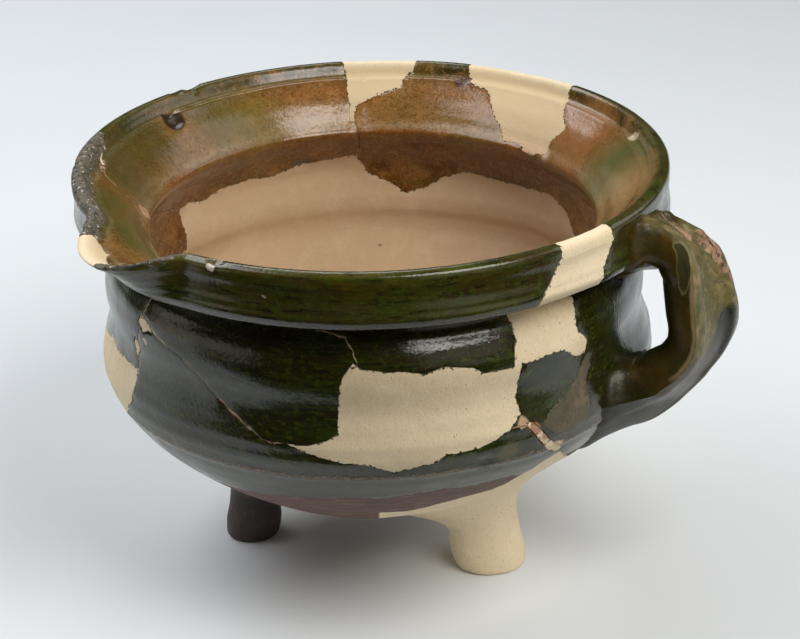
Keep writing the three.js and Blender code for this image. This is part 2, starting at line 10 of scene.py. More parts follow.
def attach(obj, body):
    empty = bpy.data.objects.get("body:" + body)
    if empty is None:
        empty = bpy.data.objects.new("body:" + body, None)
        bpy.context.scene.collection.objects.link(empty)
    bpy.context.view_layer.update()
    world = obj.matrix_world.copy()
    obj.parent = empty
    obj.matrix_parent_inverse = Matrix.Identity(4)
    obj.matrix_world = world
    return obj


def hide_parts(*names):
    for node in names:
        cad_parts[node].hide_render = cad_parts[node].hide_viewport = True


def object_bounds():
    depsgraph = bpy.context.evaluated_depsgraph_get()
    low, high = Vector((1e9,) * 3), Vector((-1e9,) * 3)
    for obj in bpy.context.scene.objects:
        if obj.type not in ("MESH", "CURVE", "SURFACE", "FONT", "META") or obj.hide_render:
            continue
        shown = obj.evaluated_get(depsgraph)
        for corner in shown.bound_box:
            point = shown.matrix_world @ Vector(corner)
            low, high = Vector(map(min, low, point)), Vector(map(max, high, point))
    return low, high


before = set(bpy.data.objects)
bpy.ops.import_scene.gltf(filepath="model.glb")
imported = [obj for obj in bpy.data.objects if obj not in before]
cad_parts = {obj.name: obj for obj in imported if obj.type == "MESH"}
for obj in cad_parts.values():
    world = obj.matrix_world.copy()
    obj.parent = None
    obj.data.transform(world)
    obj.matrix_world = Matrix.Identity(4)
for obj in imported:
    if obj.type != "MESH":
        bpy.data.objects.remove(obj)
cad_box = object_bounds()

# Everything below is in millimetres about the pot's own axis. This is where that axis stands
# in the frame, and what turns millimetres into metres.
AXIS = np.array([-9.77, 0.23, 0.0])
MM = 0.001

# The pot's main sizes, as the solids have them
BELLY_RADIUS = 104.2
BELLY_HEIGHT = 84.0
BASE_CLEARANCE = 15.5
NECK_HEIGHT = 129.5
RIM_HEIGHT = 151.7
COLLAR_RADIUS = 113.2
RIDGE_RADIUS = 86.6
RIDGE_HEIGHT = 128.9
WALL_THICKNESS = 6.6
BASE_THICKNESS = 8.0
BOWL_ROUNDNESS = 1.5

# How the rim is pressed to an oval, leans, and is pulled out into the spout
RIM_SQUEEZE = 6.6
RIM_DROP_SIDE = 1.1
RIM_DROP_BACK = 2.8
RIDGE_DROP = 0.6
SQUEEZE_START = 0.43
DROP_START = 0.8
PRESS_END = 1.68
SPOUT_REACH = 24.0
SPOUT_AZIMUTH = 229.0
SPOUT_LEFT = 24.0
SPOUT_RIGHT = 9.5
SPOUT_FADE = 1.3
COLLAR_TUCK = 3.5
TUCK_AZIMUTH = 214.0
TUCK_ANGLE = 34.0

HANDLE_AZIMUTH = -27.0
HANDLE_STANDOUT = 28.0
STRAP_WIDTH = 37.0
STRAP_THICKNESS = 12.0
STRAP_DISH = 0.24

FOOT_HEIGHT = 36.0
LUTING_SLOPE = 0.55
LUTING_START = 0.2
LUTING_END = 0.65

# The wall's section from the belly over the crest and down to the belly inside: radius, height
OUTER_WALL = [
    (102.8, 79), (104.2, 84), (103.0, 90.8), (101.8, 98.1), (103.4, 110.8), (102.4, 117.2), (99.8, 122.7),
    (97.4, 126.3), (97.2, 129.5), (100.1, 131.3), (111.9, 132.8), (113.2, 134.8), (113.1, 138.5),
    (112.4, 142.8), (113.0, 147.5), (112.8, 149.3), (112.0, 150.8), (110.6, 151.5), (109.3, 151.7),
]
INNER_WALL = [
    (108.0, 151.3), (107.0, 150.2), (106.2, 148.4), (105.2, 146.9), (104.2, 146.6), (103.2, 146.5),
    (102.6, 146.45), (102.0, 146.2), (101.4, 145.6), (98, 142.6), (94.8, 139.6), (92, 136), (89.5, 132.3),
    (87.6, 129.9), (86.7, 128.7), (87.0, 127.3), (88.2, 125.2), (91.7, 121.3), (95.4, 115.5), (96.8, 110.8),
    (96.3, 104), (95.2, 98.1), (95.9, 92), (96.4, 90.8), (97.6, 84), (96.4, 79),
]

# Break lines on the outside of the wall: azimuth in degrees, and level. Level 0 is under the
# base, 1 is the belly, 2 the groove of the neck and 3 the crest of the rim.
OVER_RIM = 3.8
FRONT_FILL_LINE = [
    (313.5, OVER_RIM), (302, OVER_RIM), (301.8, 3), (301.4, 2.8565), (300.1, 2.5832), (298.3, 2.385),
    (296.8, 2.1117), (294.5, 1.9511), (295, 1.8644), (295.2, 1.7744), (294.5, 1.5544), (288.9, 1.5677),
    (286.4, 1.6211), (280.8, 1.6511), (278.5, 1.6277), (273.9, 1.6477), (269.8, 1.6577), (266.7, 1.6744),
    (265.3, 1.7177), (263.9, 1.6377), (263, 1.4544), (262.3, 1.1676), (260.3, 1.1176), (257, 1.0809),
    (253, 1.0776), (257.9, 1.0076), (262.6, 0.9674), (266.6, 0.9563), (271.7, 0.8987), (276.2, 0.9297),
    (279.6, 0.9452), (281.6, 0.9807), (286.9, 0.9873), (290.5, 1.0109), (293.9, 1.0776), (296.3, 1.1643),
    (295.5, 1.3043), (296.1, 1.471), (296.2, 1.5577), (299.1, 1.556), (302.5, 1.5677), (305.6, 1.561),
    (309.9, 1.4544), (312.3, 1.4544), (312.5, 1.551), (309.6, 1.6977), (311.5, 1.8878), (311, 2.1117),
    (311.8, 2.4055), (313.5, 2.5763), (314.6, 2.7813), (313.8, 3),
]
BACK_LEFT_FILL_LINE = [
    (80, OVER_RIM), (95.5, OVER_RIM), (94.5, 2.6993), (94.6, 2.5353), (94.2, 2.3508), (94.3, 2.1458),
    (93.1, 2.1458), (93, 2.2483), (92.3, 2.4055), (88.7, 2.5012), (86.1, 2.5695), (82.6, 2.6378),
    (82.4, 2.7198), (80.3, 2.8633),
]
BACK_RIGHT_FILL_LINE = [
    (44, OVER_RIM), (69.5, OVER_RIM), (69, 2.8428), (67.9, 2.7403), (63.7, 2.6925), (60.5, 2.3782),
    (57.6, 2.221), (55.3, 2.016), (50.4, 2.0502), (47.5, 1.9745), (45, 1.9545), (43.6, 1.9878),
    (39.9, 2.0433), (40.2, 2.2347), (37.8, 2.4807), (41.1, 2.6515), (43.6, 2.8497),
]
SPOUT_TIP_FILL_LINE = [
    (229, OVER_RIM), (217.6, OVER_RIM), (217.4, 2.8975), (219.5, 2.8087), (222.5, 2.7677), (225.5, 2.8292),
    (228.5, 2.8975),
]
UPPER_CRACK_FILL_LINE = [
    (216.4, 1.6611), (218.6, 1.6044), (222.4, 1.6277), (221.8, 1.6777), (219.2, 1.7244), (217, 1.7144),
]
LOWER_CRACK_FILL_LINE = [
    (213.4, 1.381), (214.2, 1.3377), (216.3, 1.4077), (216.6, 1.481), (215.2, 1.5277), (214, 1.471),
]
ROOT_EDGE_FILL_LINE = [
    (296.8, 1.0943), (298.9, 1.0709), (302.3, 0.9475), (305.2, 0.8877), (308.4, 0.8134), (307.4, 0.7869),
    (303.9, 0.8456), (301.1, 0.9197), (298, 1.0309),
]
SPOUT_CRACK = [
    (166, OVER_RIM), (167.2, 2.9658), (167.1, 2.8087), (172.4, 2.7677), (178, 2.754), (180.5, 2.5422),
    (180.4, 2.3577), (177.2, 2.1527), (176.5, 1.9211),
]
SPOUT_BREAK = [
    (228, 1.9478), (226.5, 2.2142), (228, 2.5217), (226.5, 2.8292), (227, OVER_RIM),
]
GROOVE_BREAK = [
    (228, 1.9478), (240, 1.9611), (252.5, 1.9745), (261.7, 1.9245),
]
FRONT_CRACK = [
    (261.7, 1.9245), (264.3, 1.8844), (265.5, 1.8011), (266.2, 1.7044),
]
SLANT_CRACK = [
    (217.7, 1.6411), (221.6, 1.6544), (226.5, 1.6144), (229.3, 1.581), (231.1, 1.5544), (234.1, 1.471),
    (235.2, 1.441), (239.5, 1.321), (241.3, 1.2593), (243.9, 1.2043), (248.3, 1.0976), (253, 1.0776),
]
SHOULDER_CRACK = [
    (219.5, 1.9211), (218.2, 1.7544), (217.7, 1.6411),
]
BELLY_CRACK = [
    (217.7, 1.6411), (215.8, 1.4977), (215, 1.421), (214.6, 1.261),
]
BACK_CRACK = [
    (93.3, 2.18), (92.7, 1.9211), (92.5, 1.8211), (93, 1.7111),
]
BACK_LEFT_LOWER_EDGE = [
    (93, 1.7111), (95.3, 1.7177), (102.9, 1.6777), (113.4, 1.6077), (123.7, 1.6311), (132.1, 1.5677),
    (136.6, 1.6077), (140.4, 1.5877), (150, 1.6877), (163, 1.7544), (176, 1.7878), (176.5, 1.9211),
]
BACK_RIGHT_LOWER_EDGE = [
    (43.9, 1.5677), (53.5, 1.5644), (63.2, 1.5677), (68.5, 1.5944), (73.6, 1.521), (77.6, 1.4143),
    (82, 1.3493), (86.7, 1.461), (90.8, 1.5644), (93, 1.7111),
]
RIGHT_CRACK = [
    (403.9, 1.5677), (404, 1.7544), (404.5, 1.9878),
]
SHOULDER_SHERD_LINE = [
    (140.4, 1.5877), (140, 1.401), (139.7, 1.221), (150, 1.0709), (165, 1.0876), (183.7, 1.1543),
    (196.3, 1.251), (204.3, 1.2476), (209.6, 1.2476), *BELLY_CRACK[::-1], *SHOULDER_CRACK[-2::-1],
    (205, 1.9545), (190, 1.9478), (176.5, 1.9211), (176, 1.7878), (163, 1.7544), (150, 1.6877),
]
ROOT_BREAK = [
    (293.9, 1.0776), (297.3, 1.0709), (300, 1.0043), (303, 0.8921), (306, 0.8367), (308.9, 0.7792),
]
HANDLE_LOWER_EDGE = [
    (308.9, 0.7792), (318, 0.6153), (328, 0.5045), (338, 0.416), (346, 0.2166), (350, 0.0838),
    (358, 0.0838), (364, 0.2609), (368, 0.5045), (374, 0.7481), (386, 1.0043), (394.7, 1.3077),
    (398.4, 1.4677),
]
BASE_FILL_LINE = [
    (268, 0.3097), (268, 0.2166), (272, 0.1391), (285, 0.0838), (300, 0.0616), (330, 0.0616),
    (352, 0.0838), (356, 0.2166), (350, 0.5488), (330, 0.7039), (312, 0.8146), (308.9, 0.7792),
    (304.6, 0.7265), (301.1, 0.6613), (297, 0.5591), (289.7, 0.5504), (283.4, 0.5007), (276.5, 0.4482),
    (268.9, 0.4483),
]
LOWER_SHERD_LINE = [
    (0, 0.0838), (60, 0.0838), (120, 0.0948), (140, 0.1502), (150, 0.3274), (156, 0.4824), (165, 0.5156),
    (175, 0.5488), (184, 0.5931), (195, 0.6706), (204, 0.7924), (212.8, 0.9918), (214.2, 1.1543),
    *BELLY_CRACK[::-1], *SLANT_CRACK[1:], (257, 1.0543), (262, 1.0709), (266, 1.1543), (290, 1.1543),
    (293.9, 1.0776), (300, 1.1543), (309, 0.881), (311, 0.6596), (313, 0.4381), (316, 0.2166),
    (320, 0.1281), (357, 0.1281),
]
HANDLE_SHERD_LINE = [
    (304, OVER_RIM), (304, 1.6877), (298, 1.6044), (295.4, 1.5677), (294.5, 1.4877), (291, 1.1543),
    *ROOT_BREAK, *HANDLE_LOWER_EDGE[1:], *RIGHT_CRACK, (408, 2.3167), (412, 3), (412, OVER_RIM),
]
BACK_SHERD_LINE = [
    (60, OVER_RIM), (55, 2.3167), (48, 2.0433), (44.5, 1.9878), (44, 1.7544), *BACK_RIGHT_LOWER_EDGE,
    *BACK_CRACK[-2::-1], (93.6, 2.3167), (93.2, 2.4192), (91, 2.6242), (88, OVER_RIM),
]
BACK_LEFT_SHERD_LINE = [
    (90, OVER_RIM), (91, 2.6242), (93.2, 2.4192), (93.6, 2.3167), *BACK_CRACK, *BACK_LEFT_LOWER_EDGE[1:],
    *SPOUT_CRACK[-2::-1],
]
SPOUT_SHERD_LINE = [
    *SPOUT_CRACK, (190, 1.9478), (205, 1.9545), (219.5, 1.9211), *SPOUT_BREAK,
]
FRONT_RIM_SHERD_LINE = [
    *SPOUT_BREAK[::-1], *GROOVE_BREAK[1:], *FRONT_CRACK[1:], (268, 1.5544), (292, 1.4877),
    (294.5, 1.4877), (295.4, 1.5677), (298, 1.6211), (303, 2.3167), (304, OVER_RIM),
]
FRONT_BODY_SHERD_LINE = [
    (219.5, 1.9211), *SHOULDER_CRACK[1:], *SLANT_CRACK[1:], (258, 1.0443), (268, 1.0543),
    (269, 1.6211), *FRONT_CRACK[::-1], *GROOVE_BREAK[-2::-1],
]

LEVEL_HEIGHTS = [BASE_CLEARANCE, BELLY_HEIGHT, NECK_HEIGHT, RIM_HEIGHT]


def level_height(level):
    """The height of a level of the break lines; the last span runs on above the rim."""
    above = np.maximum(np.asarray(level, float) - 3, 0) * (RIM_HEIGHT - NECK_HEIGHT)
    return np.interp(level, range(4), LEVEL_HEIGHTS) + above


def ease(value, start, end):
    """Rises smoothly from 0 to 1 while the value runs from start to end."""
    share = np.clip((value - start) / (end - start), 0, 1)
    return share * share * (3 - 2 * share)


def unit(vectors, least=1e-9):
    """The vectors at unit length; those shorter than the least stay short."""
    return vectors / np.maximum(np.linalg.norm(vectors, axis=-1, keepdims=True), least)


def lumps(points, size, seed=0):
    """Smooth unevenness between -1 and 1, with lumps of the given size in mm."""
    scaled = np.asarray(points, float) / size
    cell = np.floor(scaled).astype(np.int64)
    share = scaled - cell
    share = share * share * (3 - 2 * share)
    total = np.zeros(len(scaled))
    for corner in itertools.product((0, 1), repeat=3):
        x, y, z = (cell + corner).T
        code = (x * 73856093) ^ (y * 19349663) ^ (z * 83492791) ^ (seed * 2654435761)
        code = ((code ^ (code >> 13)) * 1274126177) & 0xFFFFFFFF
        value = ((code ^ (code >> 16)) & 0xFFFF) / 32767.5 - 1
        total += value * np.prod(np.where(corner, share, 1 - share), axis=1)
    return total


def smooth_line(knots, steps):
    """A smooth line through the knots, which may be far apart in one place and close in another."""
    knots = np.array(knots, float)
    span = np.linalg.norm(np.diff(knots, axis=0), axis=1)[:, None]
    slope = np.diff(knots, axis=0) / span
    turn = (slope[:-1] * span[1:] + slope[1:] * span[:-1]) / (span[1:] + span[:-1])
    turn = np.vstack([slope[:1], turn, slope[-1:]])
    share = np.linspace(0, 1, steps, endpoint=False)[None, :, None]
    a, b = knots[:-1, None], knots[1:, None]
    ta, tb = turn[:-1, None] * span[:, None], turn[1:, None] * span[:, None]
    square, cube = share ** 2, share ** 3
    line = a * (2 * cube - 3 * square + 1) + ta * (cube - 2 * square + share)
    line = line + b * (3 * square - 2 * cube) + tb * (cube - square)
    return np.vstack([line.reshape(-1, knots.shape[1]), knots[-1:]])


# The section as two tables of radius by height, one for each side of the wall
SMOOTH_STEPS = 24
whole_section = smooth_line(OUTER_WALL + INNER_WALL, SMOOTH_STEPS)
crest_at = (len(OUTER_WALL) - 1) * SMOOTH_STEPS
outer_radii, outer_heights = whole_section[SMOOTH_STEPS:crest_at + 1].T
inner_radii, inner_heights = whole_section[crest_at:-SMOOTH_STEPS][::-1].T
outer_heights = np.maximum.accumulate(outer_heights)
inner_heights = np.maximum.accumulate(inner_heights)


def bowl_radius(height):
    """The bowl's radius below the belly: a superellipse."""
    down = np.clip((BELLY_HEIGHT - height) / (BELLY_HEIGHT - BASE_CLEARANCE), 0, 1)
    return BELLY_RADIUS * (1 - down ** BOWL_ROUNDNESS) ** (1 / BOWL_ROUNDNESS)


def wall_section(height, inside):
    """Radius and height of the wall, by the height of the same break on the outside."""
    below = height < BELLY_HEIGHT
    if not inside:
        radius = np.interp(height, outer_heights, outer_radii)
        return np.where(below, bowl_radius(height), radius), height
    dip = np.arctan2(BELLY_HEIGHT - height, bowl_radius(height))
    wide = np.abs(np.cos(dip)) / (BELLY_RADIUS - WALL_THICKNESS)
    deep = np.abs(np.sin(dip)) / (BELLY_HEIGHT - BASE_CLEARANCE - BASE_THICKNESS)
    reach = (wide ** BOWL_ROUNDNESS + deep ** BOWL_ROUNDNESS) ** (-1 / BOWL_ROUNDNESS)
    radius = np.interp(height, inner_heights, inner_radii)
    radius = np.where(below, reach * np.cos(dip), radius)
    return radius, np.where(below, BELLY_HEIGHT - reach * np.sin(dip), height)


# The wall laid flat: x runs round the belly, y up along the section, both in mm
sample_heights = np.linspace(BASE_CLEARANCE, RIM_HEIGHT, 24001)
outer_steps = np.hypot(*np.diff(wall_section(sample_heights, False)))
inner_steps = np.hypot(*np.diff(wall_section(sample_heights, True)))
flat_heights = np.append(0, np.cumsum(np.maximum(outer_steps, inner_steps)))
outside_run = np.append(0, np.cumsum(outer_steps))
inside_run = np.append(0, np.cumsum(inner_steps))
FLAT_TOP = flat_heights[-1]
FLAT_START, FLAT_END = radians(20) * BELLY_RADIUS, radians(380) * BELLY_RADIUS
FLAT_TURN = 2 * pi * BELLY_RADIUS


def flat_of(azimuth, height):
    """The point of the flat for an azimuth in degrees and a height of the outside."""
    above = np.maximum(height - RIM_HEIGHT, 0)
    return np.radians(azimuth) * BELLY_RADIUS, np.interp(height, sample_heights, flat_heights) + above


def azimuth_gap(azimuth, middle):
    return (azimuth - middle + 180) % 360 - 180


def short_way(step):
    """A step in the flat, taken the short way round the pot."""
    step[..., 0] = (step[..., 0] + FLAT_TURN / 2) % FLAT_TURN - FLAT_TURN / 2
    return step


def pressed(radius, height, azimuth):
    """Moves points of the wheel-round pot to their place on the pressed and pulled pot."""
    turn = np.radians(azimuth)
    outwards = np.clip((radius - RIDGE_RADIUS) / (COLLAR_RADIUS - RIDGE_RADIUS), 0, 1)
    rim_share = np.maximum((height - RIDGE_HEIGHT) / (RIM_HEIGHT - RIDGE_HEIGHT), 0)
    drop = ease(height, level_height(DROP_START), level_height(PRESS_END))
    drop = drop * (RIDGE_DROP + (1 - RIDGE_DROP) * outwards)
    away = azimuth_gap(azimuth, SPOUT_AZIMUTH)
    spread = np.where(away < 0, SPOUT_LEFT, SPOUT_RIGHT)
    pull = SPOUT_REACH * np.cos(pi / 2 * np.clip(np.abs(away) / spread, 0, 1)) ** 2
    away = azimuth_gap(azimuth, TUCK_AZIMUTH)
    tuck = COLLAR_TUCK * np.cos(pi / 2 * np.clip(np.abs(away) / TUCK_ANGLE, 0, 1)) ** 2
    tuck = np.where(height > RIDGE_HEIGHT, tuck * outwards ** 2 * (1 - rim_share), 0)
    squeeze = RIM_SQUEEZE * ease(height, level_height(SQUEEZE_START), level_height(PRESS_END))
    moved = pull * rim_share ** SPOUT_FADE - tuck - squeeze * np.cos(2 * turn)
    out = np.where(radius > 0.5, radius + moved, radius)
    lean = RIM_DROP_SIDE * np.cos(turn) + RIM_DROP_BACK * np.sin(turn)
    return np.stack([out * np.cos(turn), out * np.sin(turn), height - lean * drop], axis=-1)


def wall_point(x, y, inside):
    """The point of the smooth wall over a point of the flat."""
    radius, height = wall_section(np.interp(y, flat_heights, sample_heights), inside)
    return pressed(radius, height, np.degrees(x / BELLY_RADIUS))


# The break lines in the flat, split finely and made jagged
BREAK_STEP = 0.85
JAGS = [(7.0, 0.6), (2.6, 0.32), (1.1, 0.16)]


def on_drum(x, y):
    """Points of the flat rolled up again, so that noise over them has no seam."""
    turn = x / BELLY_RADIUS
    return np.stack([BELLY_RADIUS * np.cos(turn), BELLY_RADIUS * np.sin(turn), y], axis=-1)


def jagged(x, y):
    """Shifts points of the flat by the grain of the clay, the same way for both sides of a break."""
    place = on_drum(x, y)
    for number, (size, reach) in enumerate(JAGS):
        x = x + reach * lumps(place, size, 11 + number)
        y = y + reach * lumps(place, size, 21 + number)
    return x, y


def break_line(line, closed):
    """The points of a break line in the flat. Both directions give the same points."""
    points = []
    stops = line + line[:1] if closed else line
    for (azimuth, level), (next_azimuth, next_level) in zip(stops, stops[1:]):
        ends = sorted([(azimuth, level), (next_azimuth, next_level)])
        (start_azimuth, end_azimuth), levels = np.array(ends).T
        start_height, end_height = level_height(levels)
        x, y = flat_of(*np.array([(start_azimuth, start_height), (end_azimuth, end_height)]).T)
        count = max(1, round(np.hypot(x[1] - x[0], y[1] - y[0]) / BREAK_STEP))
        share = np.linspace(0, 1, count + 1)
        azimuths = start_azimuth + (end_azimuth - start_azimuth) * share
        heights = start_height + (end_height - start_height) * share
        run = np.stack(flat_of(azimuths, heights), axis=-1)
        if ends[0] != (azimuth, level):
            run = run[::-1]
        points.extend(run[:-1])
    if not closed:
        points.append(np.array(flat_of(line[-1][0], level_height(line[-1][1]))))
    x, y = jagged(*np.array(points).T)
    return np.round(np.stack([x, y], axis=-1), 4)


# The pieces of the wall in the order they are broken out, with the finish each takes
WALL_PIECES = [
    ("upper_crack_fill", UPPER_CRACK_FILL_LINE, "plaster"),
    ("lower_crack_fill", LOWER_CRACK_FILL_LINE, "plaster"),
    ("root_edge_fill", ROOT_EDGE_FILL_LINE, "plaster"),
    ("spout_tip_fill", SPOUT_TIP_FILL_LINE, "plaster"),
    ("front_fill", FRONT_FILL_LINE, "plaster"),
    ("back_left_rim_fill", BACK_LEFT_FILL_LINE, "plaster"),
    ("back_right_rim_fill", BACK_RIGHT_FILL_LINE, "plaster"),
    ("handle_sherd", HANDLE_SHERD_LINE, "glazed_clay"),
    ("back_rim_sherd", BACK_SHERD_LINE, "glazed_clay"),
    ("back_left_rim_sherd", BACK_LEFT_SHERD_LINE, "glazed_clay"),
    ("spout_rim_sherd", SPOUT_SHERD_LINE, "glazed_clay"),
    ("front_rim_sherd", FRONT_RIM_SHERD_LINE, "glazed_clay"),
    ("left_shoulder_sherd", SHOULDER_SHERD_LINE, "glazed_clay"),
    ("front_body_sherd", FRONT_BODY_SHERD_LINE, "glazed_clay"),
    ("base_fill", BASE_FILL_LINE, "plaster"),
    ("lower_body_sherd", LOWER_SHERD_LINE, "glazed_clay"),
    ("back_body_fill", None, "plaster"),
]


# The rows' spacing by height, the steps in degrees that the columns may take, their least spacing,
# and the azimuths between which the spout has twice as many
ROW_SPACING = [(80, 1.7), (95, 1.4), (126, 0.9), (130, 0.75)]
COLUMN_STEPS = (1.25, 2.5, 5, 10, 30)
COLUMN_SPACING = 1.9
SPOUT_SPAN = (205, 245)


def grid_points():
    """The flat's own points: rows closer where the section bends, fewer columns near the base."""
    spacing = np.interp(sample_heights, *np.array(ROW_SPACING).T)
    crowding = np.append(0, np.cumsum(np.diff(flat_heights) / spacing[1:]))
    count = round(crowding[-1])
    rows = np.interp(np.arange(count + 1) / count * crowding[-1], crowding, sample_heights)
    points = []
    for height in rows:
        radius = wall_section(np.array([height]), False)[0][0]
        step = next((s for s in COLUMN_STEPS if radians(s) * radius > COLUMN_SPACING), COLUMN_STEPS[-1])
        azimuths = np.arange(20, 380 + step / 2, step)
        if height > NECK_HEIGHT:
            azimuths = np.union1d(azimuths, np.arange(*SPOUT_SPAN, step / 2))
        x, y = flat_of(azimuths, height)
        points.append(np.stack([x, np.full(len(x), y)], axis=-1))
    return points


# The lower sherd's outline closes this far under the flat, and the flat's own points stay this far
# from the breaks
UNDER_FLAT = -9
CLEAR_OF_BREAK = 0.55


def split_wall():
    """Lays the wall flat and splits it along the breaks.
    Gives the flat's points, its triangles, and the number of each triangle's piece."""
    outlines = []
    for number, (name, line, _) in enumerate(WALL_PIECES[:-1]):
        if name == "lower_body_sherd":
            round_pot = break_line(line + [(360, line[0][1])], False)
            outline = np.vstack([round_pot, [(FLAT_TURN, UNDER_FLAT), (0, UNDER_FLAT)]])
        else:
            outline = break_line(line, True)
        x, y = outline.T
        if np.sum(x * np.roll(y, -1) - np.roll(x, -1) * y) < 0:
            outline = outline[::-1]
        for turns in (-1, 0, 1):
            copy = outline + (turns * FLAT_TURN, 0)
            if copy[:, 0].max() > FLAT_START and copy[:, 0].min() < FLAT_END:
                outlines.append((number, copy))
    rows = grid_points()
    left = [row[0] for row in rows]
    right = [row[-1] for row in rows]
    border = [*rows[0][:-1], *right[:-1], *rows[-1][:0:-1], *left[:0:-1]]
    line_points = np.vstack([copy for _, copy in outlines])
    tree = kdtree.KDTree(len(line_points))
    for at, (x, y) in enumerate(line_points):
        tree.insert((x, y, 0), at)
    tree.balance()
    inner = [p for row in rows[1:-1] for p in row[1:-1] if tree.find((*p, 0))[2] > CLEAR_OF_BREAK]
    points = [Vector(p) for p in np.round(np.array(border + inner), 4)]
    faces = [list(range(len(border)))]
    for _, copy in outlines:
        faces.append(list(range(len(points), len(points) + len(copy))))
        points.extend(Vector(p) for p in copy)
    flat, _, triangles, _, _, covers = geometry.delaunay_2d_cdt(points, [], faces, 0, 1e-5, True)
    piece_of_face = [len(WALL_PIECES)] + [number for number, _ in outlines]
    kept, owners = [], []
    for triangle, cover in zip(triangles, covers):
        if 0 not in cover:
            continue
        owner = min(piece_of_face[c] for c in cover)
        kept.append(triangle)
        owners.append(min(owner, len(WALL_PIECES) - 1))
    return np.array([tuple(p) for p in flat]), np.array(kept), np.array(owners)


def close_round(flat, triangles, owners):
    """Joins the flat's two sides, and its foot to one point under the pot."""
    target = np.arange(len(flat))
    left = np.flatnonzero(np.abs(flat[:, 0] - FLAT_START) < 1e-3)
    right = np.flatnonzero(np.abs(flat[:, 0] - FLAT_END) < 1e-3)
    left, right = left[np.argsort(flat[left, 1])], right[np.argsort(flat[right, 1])]
    nearest = np.abs(flat[right, 1][:, None] - flat[left, 1][None, :]).argmin(axis=1)
    target[right] = left[nearest]
    foot = np.flatnonzero(flat[:, 1] < 1e-3)
    target[foot] = foot[0]
    triangles = target[triangles]
    a, b, c = triangles.T
    whole = (a != b) & (b != c) & (c != a)
    return triangles[whole], owners[whole]


# Scraps of a piece smaller than this, in square mm, go to the piece beside them
SCRAP_AREA = 30


def merge_slivers(flat, triangles, owners):
    """Gives the scraps that the jagged breaks cut off a piece to the piece beside them."""
    for _ in range(3):
        group = list(range(len(triangles)))

        def root(at):
            while group[at] != at:
                group[at] = group[group[at]]
                at = group[at]
            return at

        sides = {}
        for at, (a, b, c) in enumerate(triangles.tolist()):
            for pair in ((a, b), (b, c), (c, a)):
                sides.setdefault((min(pair), max(pair)), []).append(at)
        joined = [pair for pair in sides.values() if len(pair) == 2]
        for one, other in joined:
            if owners[one] == owners[other]:
                group[root(one)] = root(other)
        roots = np.array([root(at) for at in range(len(triangles))])
        first = short_way(flat[triangles[:, 1]] - flat[triangles[:, 0]])
        second = short_way(flat[triangles[:, 2]] - flat[triangles[:, 0]])
        double_areas = np.abs(first[:, 0] * second[:, 1] - first[:, 1] * second[:, 0])
        areas = np.bincount(roots, double_areas / 2, minlength=len(triangles))
        main_group = {owners[at]: at for at in sorted(set(roots), key=lambda at: areas[at])}
        changed = {}
        for one, other in joined:
            for small, large in ((one, other), (other, one)):
                if roots[small] == main_group[owners[small]]:
                    continue
                beside = owners[small] != owners[large]
                if beside and areas[roots[small]] < SCRAP_AREA < areas[roots[large]]:
                    changed[roots[small]] = owners[large]
        if not changed:
            break
        for at, group_root in enumerate(roots):
            if group_root in changed:
                owners[at] = changed[group_root]
    return owners


flat_points, wall_triangles, wall_owners = split_wall()
wall_triangles, wall_owners = close_round(flat_points, wall_triangles, wall_owners)
wall_owners = merge_slivers(flat_points, wall_triangles, wall_owners)


# Chips and dents: azimuth, height, side, reach and depth in mm
CHIPS = [
    (137.8, 145.0, "inside", 5.0, 1.1), (128, 151.4, "both", 4.5, 1.0), (132, 151.6, "both", 3.0, 0.8),
    (105.5, 115.1, "inside", 3.2, 0.8), (70, 146.4, "inside", 3.0, 0.7), (13.8, 147.5, "both", 3.0, 0.6),
    (243.8, 151.5, "outside", 2.6, 0.8), (215.3, 150.8, "both", 2.6, 0.6), (204.8, 151, "both", 2.2, 0.6),
    (196, 151, "both", 3.0, 0.7), (187, 151, "both", 2.6, 0.6), (179, 151, "both", 3.4, 0.8),
    (210, 151, "both", 1.8, 0.5), (233, 151, "both", 3.0, 0.6), (289.6, 76.1, "outside", 3.2, 0.9),
    (226, 76, "outside", 2.5, 0.3), (266.3, 116, "outside", 1.8, 0.4), (246, 127.5, "outside", 3.0, 0.5),
]


# Small shapes of the wall, in mm: what the potter's fingers, the wheel and wear left.
# Wheel ridges: how far they stand out, their pitch up the wall, and their shift.
WHEEL_RIDGES = [(0.07, 6.1, 0), (0.035, 3.3, 1)]
# Lines turned outside: height, half width, and how far they stand out
BELLY_GROOVE = (84.1, 1.7, -0.85)
BELLY_RIDGE = (75.3, 1.3, 0.55)
COLLAR_LINES = [(137.5, 0.9, -0.18), (142.8, 1.3, 0.15)]
WORN_RIDGE_HEIGHT = 75.2
# The collar outside is worn down by this much
COLLAR_WEAR = 0.5


def turned_line(height, middle, half_width, stand_out):
    return stand_out * np.exp(-((height - middle) / half_width) ** 2)


def chip_depth(place, azimuth, y, inside):
    """How deep the chips and dents are cut into one side of the wall."""
    depth = np.zeros(len(y))
    for chip_azimuth, chip_height, side, reach, deep in CHIPS:
        if side in ("both", "inside" if inside else "outside"):
            across = np.radians(azimuth_gap(azimuth, chip_azimuth)) * BELLY_RADIUS
            away = np.hypot(across, y - flat_of(0, chip_height)[1]) / reach
            away = away + 0.25 * lumps(place, 2.5, 39)
            depth = np.maximum(depth, deep * (1 - ease(away, 0.45, 1.05)))
    return depth


